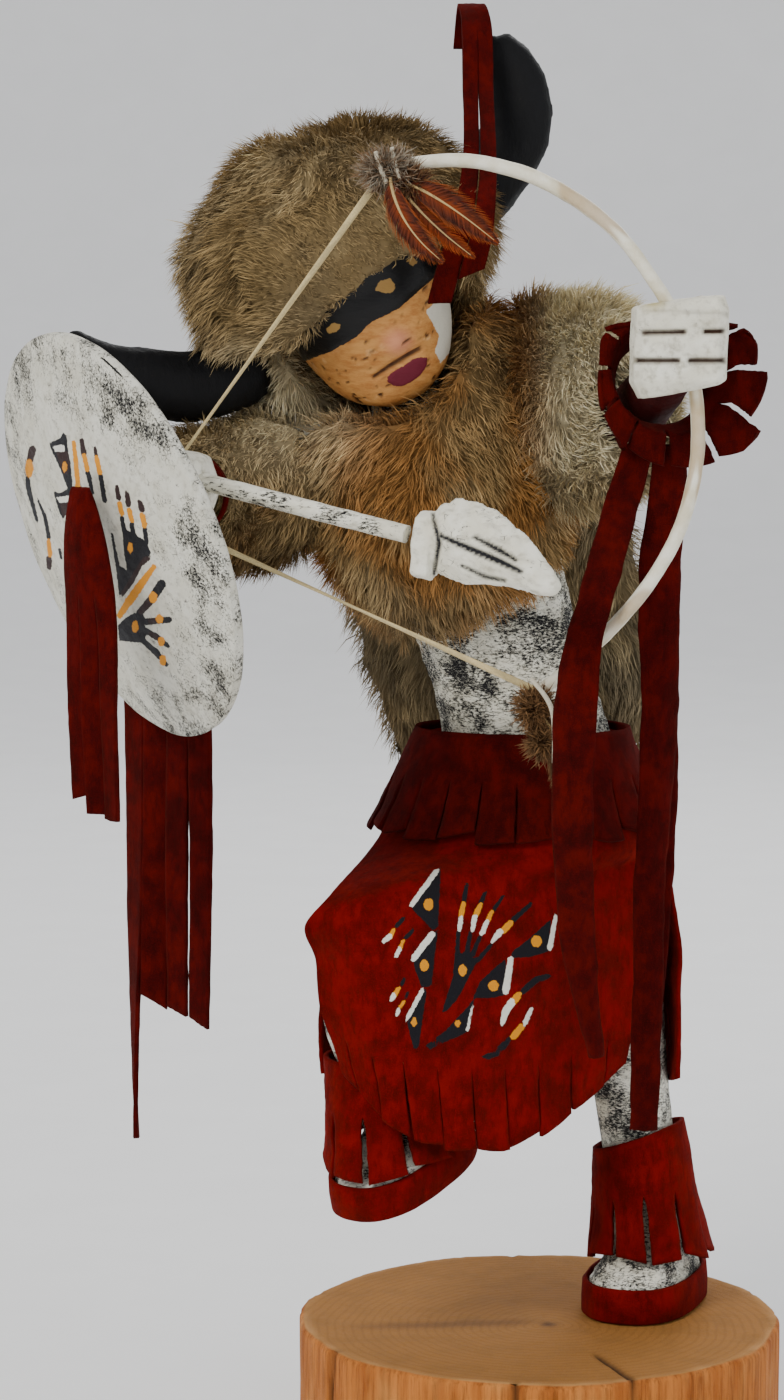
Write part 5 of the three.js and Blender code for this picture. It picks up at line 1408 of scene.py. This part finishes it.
def make_fur():
    def hood_comb(p):
        out = unit_rows(p - np.array([-52.0, 4.0, 350.0]))
        back = ease(-25, 15, p[:, 1])[:, None] * np.array([0.2, 0.5, -0.7])
        left = ease(-60, -85, p[:, 0])[:, None] * np.array([-0.2, -0.1, -1.0])
        brow = (ease(-24, -40, p[:, 1]) * ease(352, 336, p[:, 2]))[:, None] * np.array([-0.9, -0.2, 1.1])
        return out * 0.7 + np.array([-0.15, -0.15, -0.45]) + back + left + brow

    def hood_tint(p):
        return blended(tone("brown"), (ease(312, 285, p[:, 2]) * 0.45, tone("dark")),
                       (0.55 * ease(-0.1, 0.8, layered_noise(p, 22, 91)), tone("grey")),
                       (0.5 * ease(0.1, 0.9, layered_noise(p, 12, 92)), tone("pale")),
                       (0.35 * blob(p, (-40, -20, 360), (25, 30, 12)), tone("dark")),
                       # The cream patch is pale fur, made brighter than its own tone as painted light
                       (blob(p, (-66, -26, 295), (18, 26, 10)), tone("cream") * 1.25))

    def mantle_comb(p):
        down = np.array([0.05, -0.25, -0.9])
        spread = (p - np.array([-28.0, -4.0, 290.0])) * np.array([0.03, 0.02, 0.0])
        return down + spread

    def mantle_tint(p):
        return blended(tone("rust"), (0.8 * ease(-0.2, 0.7, layered_noise(p, 16, 93)), tone("brown")),
                       # The cream patch is pale fur, made brighter than its own tone as painted light
                       (blob(p, (-63, -28, 293), (14, 30, 15)), tone("cream") * 1.25),
                       (0.5 * ease(-4, 10, p[:, 0]) * ease(255, 280, p[:, 2]), tone("brown")),
                       (0.45 * ease(0.2, 0.9, layered_noise(p, 9, 94)), tone("pale")),
                       (0.5 * ease(252, 232, p[:, 2]), tone("grey")))

    def sleeve_comb(p):
        return np.array([0.45, -0.75, -0.25]) + 0 * p

    def sleeve_tint(p):
        return blended(tone("cream"), (ease(4, -8, p[:, 0]), tone("rust")),
                       (0.6 * ease(283, 266, p[:, 2]), tone("brown")),
                       (0.25 * ease(0.0, 0.9, layered_noise(p, 12, 95)), tone("brown")))

    def drawing_comb(p):
        return np.array([-0.5, -0.45, -0.5]) + 0 * p

    def drawing_tint(p):
        return blended(tone("brown"), (0.5 * ease(0.0, 0.8, layered_noise(p, 14, 96)), tone("rust")),
                       # The cream patch is pale fur, made brighter than its own tone as painted light
                       (blob(p, (-68, -34, 290), (17, 26, 13)), tone("cream") * 1.25),
                       (0.5 * ease(268, 250, p[:, 2]), tone("dark")),
                       (0.4 * ease(0.2, 0.9, layered_noise(p, 8, 97)), tone("pale")))

    def cape_comb(p):
        return np.array([0.05, 0.15, -1.0]) + 0 * p

    def cape_tint(p):
        return blended(tone("grey"), (0.5 * ease(-0.2, 0.7, layered_noise(p, 18, 98)), tone("brown")),
                       (0.5 * ease(0.1, 0.9, layered_noise(p, 10, 99)), tone("pale")),
                       (0.5 * ease(215, 190, p[:, 2]), tone("brown")))

    face = (-45.0, -52.0, 322.0), (34.0, 17.0, 17.0)
    fur("hood_fur", "fur_hood", 46000, 6.0, hood_comb, hood_tint, 101, face)
    fur("mantle_fur", "fur_mantle", 38000, 7.0, mantle_comb, mantle_tint, 111, face)
    fur("bow_sleeve_fur", "fur_bow_sleeve", 24000, 6.8, sleeve_comb, sleeve_tint, 121)
    fur("drawing_sleeve_fur", "fur_drawing_sleeve", 19500, 6.6, drawing_comb, drawing_tint, 131)
    fur("cape_fur", "fur_cape", 22500, 7.4, cape_comb, cape_tint, 141)


# Feathers: a quill with barbs on both sides, and down made of loose barbs
def feather(root, middle, end, half_width, seed, tones, bend=0.0, gaps=0.1):
    rng = np.random.default_rng(seed)
    a, b, c = (np.array(at(*p)) for p in (root, middle, end))

    def spine(t):
        t = np.asarray(t)[..., None]
        return (1 - t) ** 2 * a + 2 * t * (1 - t) * b + t * t * c
    rows = 110
    t = np.linspace(0.04, 1, rows)
    along = unit_rows(spine(np.clip(t + 0.01, 0, 1)) - spine(t - 0.01))
    side = unit_rows(np.cross(along, np.array([0, -1.0, 0])))
    front = np.cross(side, along)
    vanes, tint = [], []
    for hand in (-1, 1):
        spread = half_width * np.sin(np.pi * np.clip(t ** 0.75 * 0.94 + 0.05, 0, 1)) ** 0.7
        spread = spread * (1 + 0.08 * rng.normal(size=rows))
        broken = rng.random(rows) < gaps
        spread = np.where(broken, spread * 0.55, spread)
        start = spine(t)
        aim = unit_rows(side * hand * 0.8 + along * 0.75)
        halfway = start + aim * spread[:, None] * 0.6 + front * (0.25 * rng.normal(size=rows))[:, None]
        tip = start + unit_rows(aim + along * 0.35) * (spread * 1.15)[:, None] \
            + front * (0.35 * rng.normal(size=rows) - bend * spread * 0.12)[:, None]
        vanes.append(strands(start, halfway, tip, along * 0.24, 1.1))
        share = (0.5 + 0.5 * np.sin(t * 15 + seed))[:, None] * 0.35
        inner = tones[0] * (1 - share) + tones[1] * share
        outer = tones[1] * (1 - share * 0.5) + tones[0] * share * 0.5
        edge = tones[2] * np.ones((rows, 1))
        shade = (1 + 0.18 * rng.normal(size=rows))[:, None]
        tint.append(np.stack([inner, inner, outer, outer, edge], 1).reshape(-1, 3)
                    * np.repeat(shade, 5, axis=0))
    quill_route = [tuple(spine(s)) for s in np.linspace(-0.02, 0.97, 6)]
    quill, quill_faces = tube(quill_route, (0.42, 0.38, 0.3, 0.22, 0.16, 0.08), 8, 30, across=(0, 1, 0))
    quill = quill + np.array([0, -0.15, 0])
    points, faces = merged(*vanes, (quill, quill_faces))
    shades = np.concatenate([*tint, np.full((len(quill), 3), srgb(196, 168, 116))])
    return points, faces, np.clip(shades, 0, 1)


def down(centre, size, count, length, seed, tones):
    """A lump of loose down."""
    rng = np.random.default_rng(seed)
    way = unit_rows(rng.normal(size=(count, 3)) * np.array([1, 0.8, 1]))
    root = np.array(at(*centre)) + way * np.array(size) * rng.random((count, 1)) * 0.6
    reach = length * (0.5 + 0.6 * rng.random(count))[:, None]
    bent = unit_rows(way + 0.7 * rng.normal(size=(count, 3)))
    middle = root + way * reach * 0.5
    tip = middle + bent * reach * 0.5
    aside = unit_rows(np.cross(way, rng.normal(size=(count, 3)))) * 0.16
    tint = tones[0] + (tones[1] - tones[0]) * rng.random((count, 1))
    tint = np.repeat(tint, 5, axis=0) * np.tile([0.55, 0.55, 0.9, 0.9, 1.2], count)[:, None]
    return *strands(root, middle, tip, aside), np.clip(tint, 0, 1)


def make_feathers():
    material = tinted("feather", 0.6, 0.1, 0.4, 0.05)
    rust, dark, edge = (np.array(srgb(*c)) for c in ((136, 56, 18), (58, 30, 24), (172, 84, 32)))
    russet = rust, dark, edge
    pale, taupe = np.array(srgb(206, 196, 174)), np.array(srgb(128, 92, 60))

    def quill_end(*route):
        verts, faces = tube([at(*p) for p in route], (0.55, 0.6, 0.5), 10, 20, across=(0, 1, 0))
        return verts, faces, np.full((len(verts), 3), srgb(214, 206, 184))

    def join(node, *parts):
        verts, faces = merged(*((p[0], p[1]) for p in parts))
        tint = np.concatenate([p[2] for p in parts])
        piece(node + "_vanes", verts, faces, material, (node,), {"tint": tint})
    join("feathers_upper",
        feather((-36, -84, 300), (-28, -87, 297), (-14.5, -85, 286.0), 6.4, 3, russet, 0.4),
        feather((-40, -85.4, 301), (-38.6, -89, 290), (-27.6, -86.4, 281.5), 5.6, 5, russet, -0.3),
        feather((-38, -83.4, 300), (-33, -84, 292), (-20.0, -83.4, 282.5), 4.6, 7, (dark, rust, edge), 0.2),
        down((-40.5, -82.5, 303), (8, 3, 5.5), 1900, 6.0, 9, (taupe, pale * 0.6)),
        down((-35, -83, 300), (5, 3, 4), 900, 5.0, 10, (taupe, dark)),
        quill_end((-43.5, -83.5, 307.5), (-42.3, -84.6, 303.5), (-40.8, -85, 300)),
        quill_end((-39.6, -83.6, 308.5), (-38.8, -84.4, 304.5), (-37.6, -84.6, 301)),
    )
    brown, tan = np.array(srgb(92, 66, 44)), np.array(srgb(150, 112, 74))
    join("feathers_lower",
        feather((-3, -83, 172), (2.5, -85, 165), (0.5, -82, 152.5), 5.0, 13,
                (brown * 0.7, brown, tan * 0.8), 0.3),
        down((-5, -82.5, 174), (5, 3, 6), 1500, 5.0, 15, (brown, tan)),
        down((-3, -82.5, 166), (4, 3, 5), 900, 5.0, 16, (brown * 0.7, tan)),
        quill_end((-6, -84.6, 181.5), (-1, -86.8, 174), (-0.4, -85.4, 161)),
    )


def make_stage():
    across, rows = 8.0, []
    for y, z in ((-3.0, 0.0), (1.6, 0.0), (2.0, 0.03), (2.3, 0.12), (2.6, 0.32), (2.8, 0.62), (2.95, 1.1),
                 (3.0, 4.0)):
        rows.append([(-across, y, z), (across, y, z)])
    verts = np.array(rows).reshape(-1, 3)
    mesh = bpy.data.meshes.new("floor")
    faces = [(2 * i, 2 * i + 1, 2 * i + 3, 2 * i + 2) for i in range(len(rows) - 1)]
    mesh.from_pydata(verts.tolist(), [], faces)
    mesh.polygons.foreach_set("use_smooth", [True] * len(faces))
    n = Nodes("floor")
    grey = n.mix(n.spread(n.noise(40, 2), 0.3, 0.7), (0.94, 0.94, 0.93), (0.96, 0.96, 0.95))
    n.finish(grey, 0.8, specular=0.2)
    mesh.materials.append(n.material)
    shown("floor", mesh)


make_stage()
make_log()
make_wood()
make_shield()
make_head()
make_bow()
make_belt()
make_aprons()
make_gaiter("gaiter_standing_suede", (27, 8, 48.3, 10.9, 11.6), (31, 13, 11.4, 14.4, 18.2),
            SOLES["standing"][1], 4, 41, (84, 40), slope=0.36)
make_gaiter("gaiter_raised_suede", (-43.8, -27.4, 77, 12.2, 12.2), (-36.5, -22.5, 50, 14.6, 24),
            SOLES["raised"][1], 3, 45, (90, 32), tilt=0.27)
make_sole_bands()
make_bow_cuff()
make_drawing_cuff()
make_strips()
make_tassel()
make_drape()
make_feathers()
make_fur()
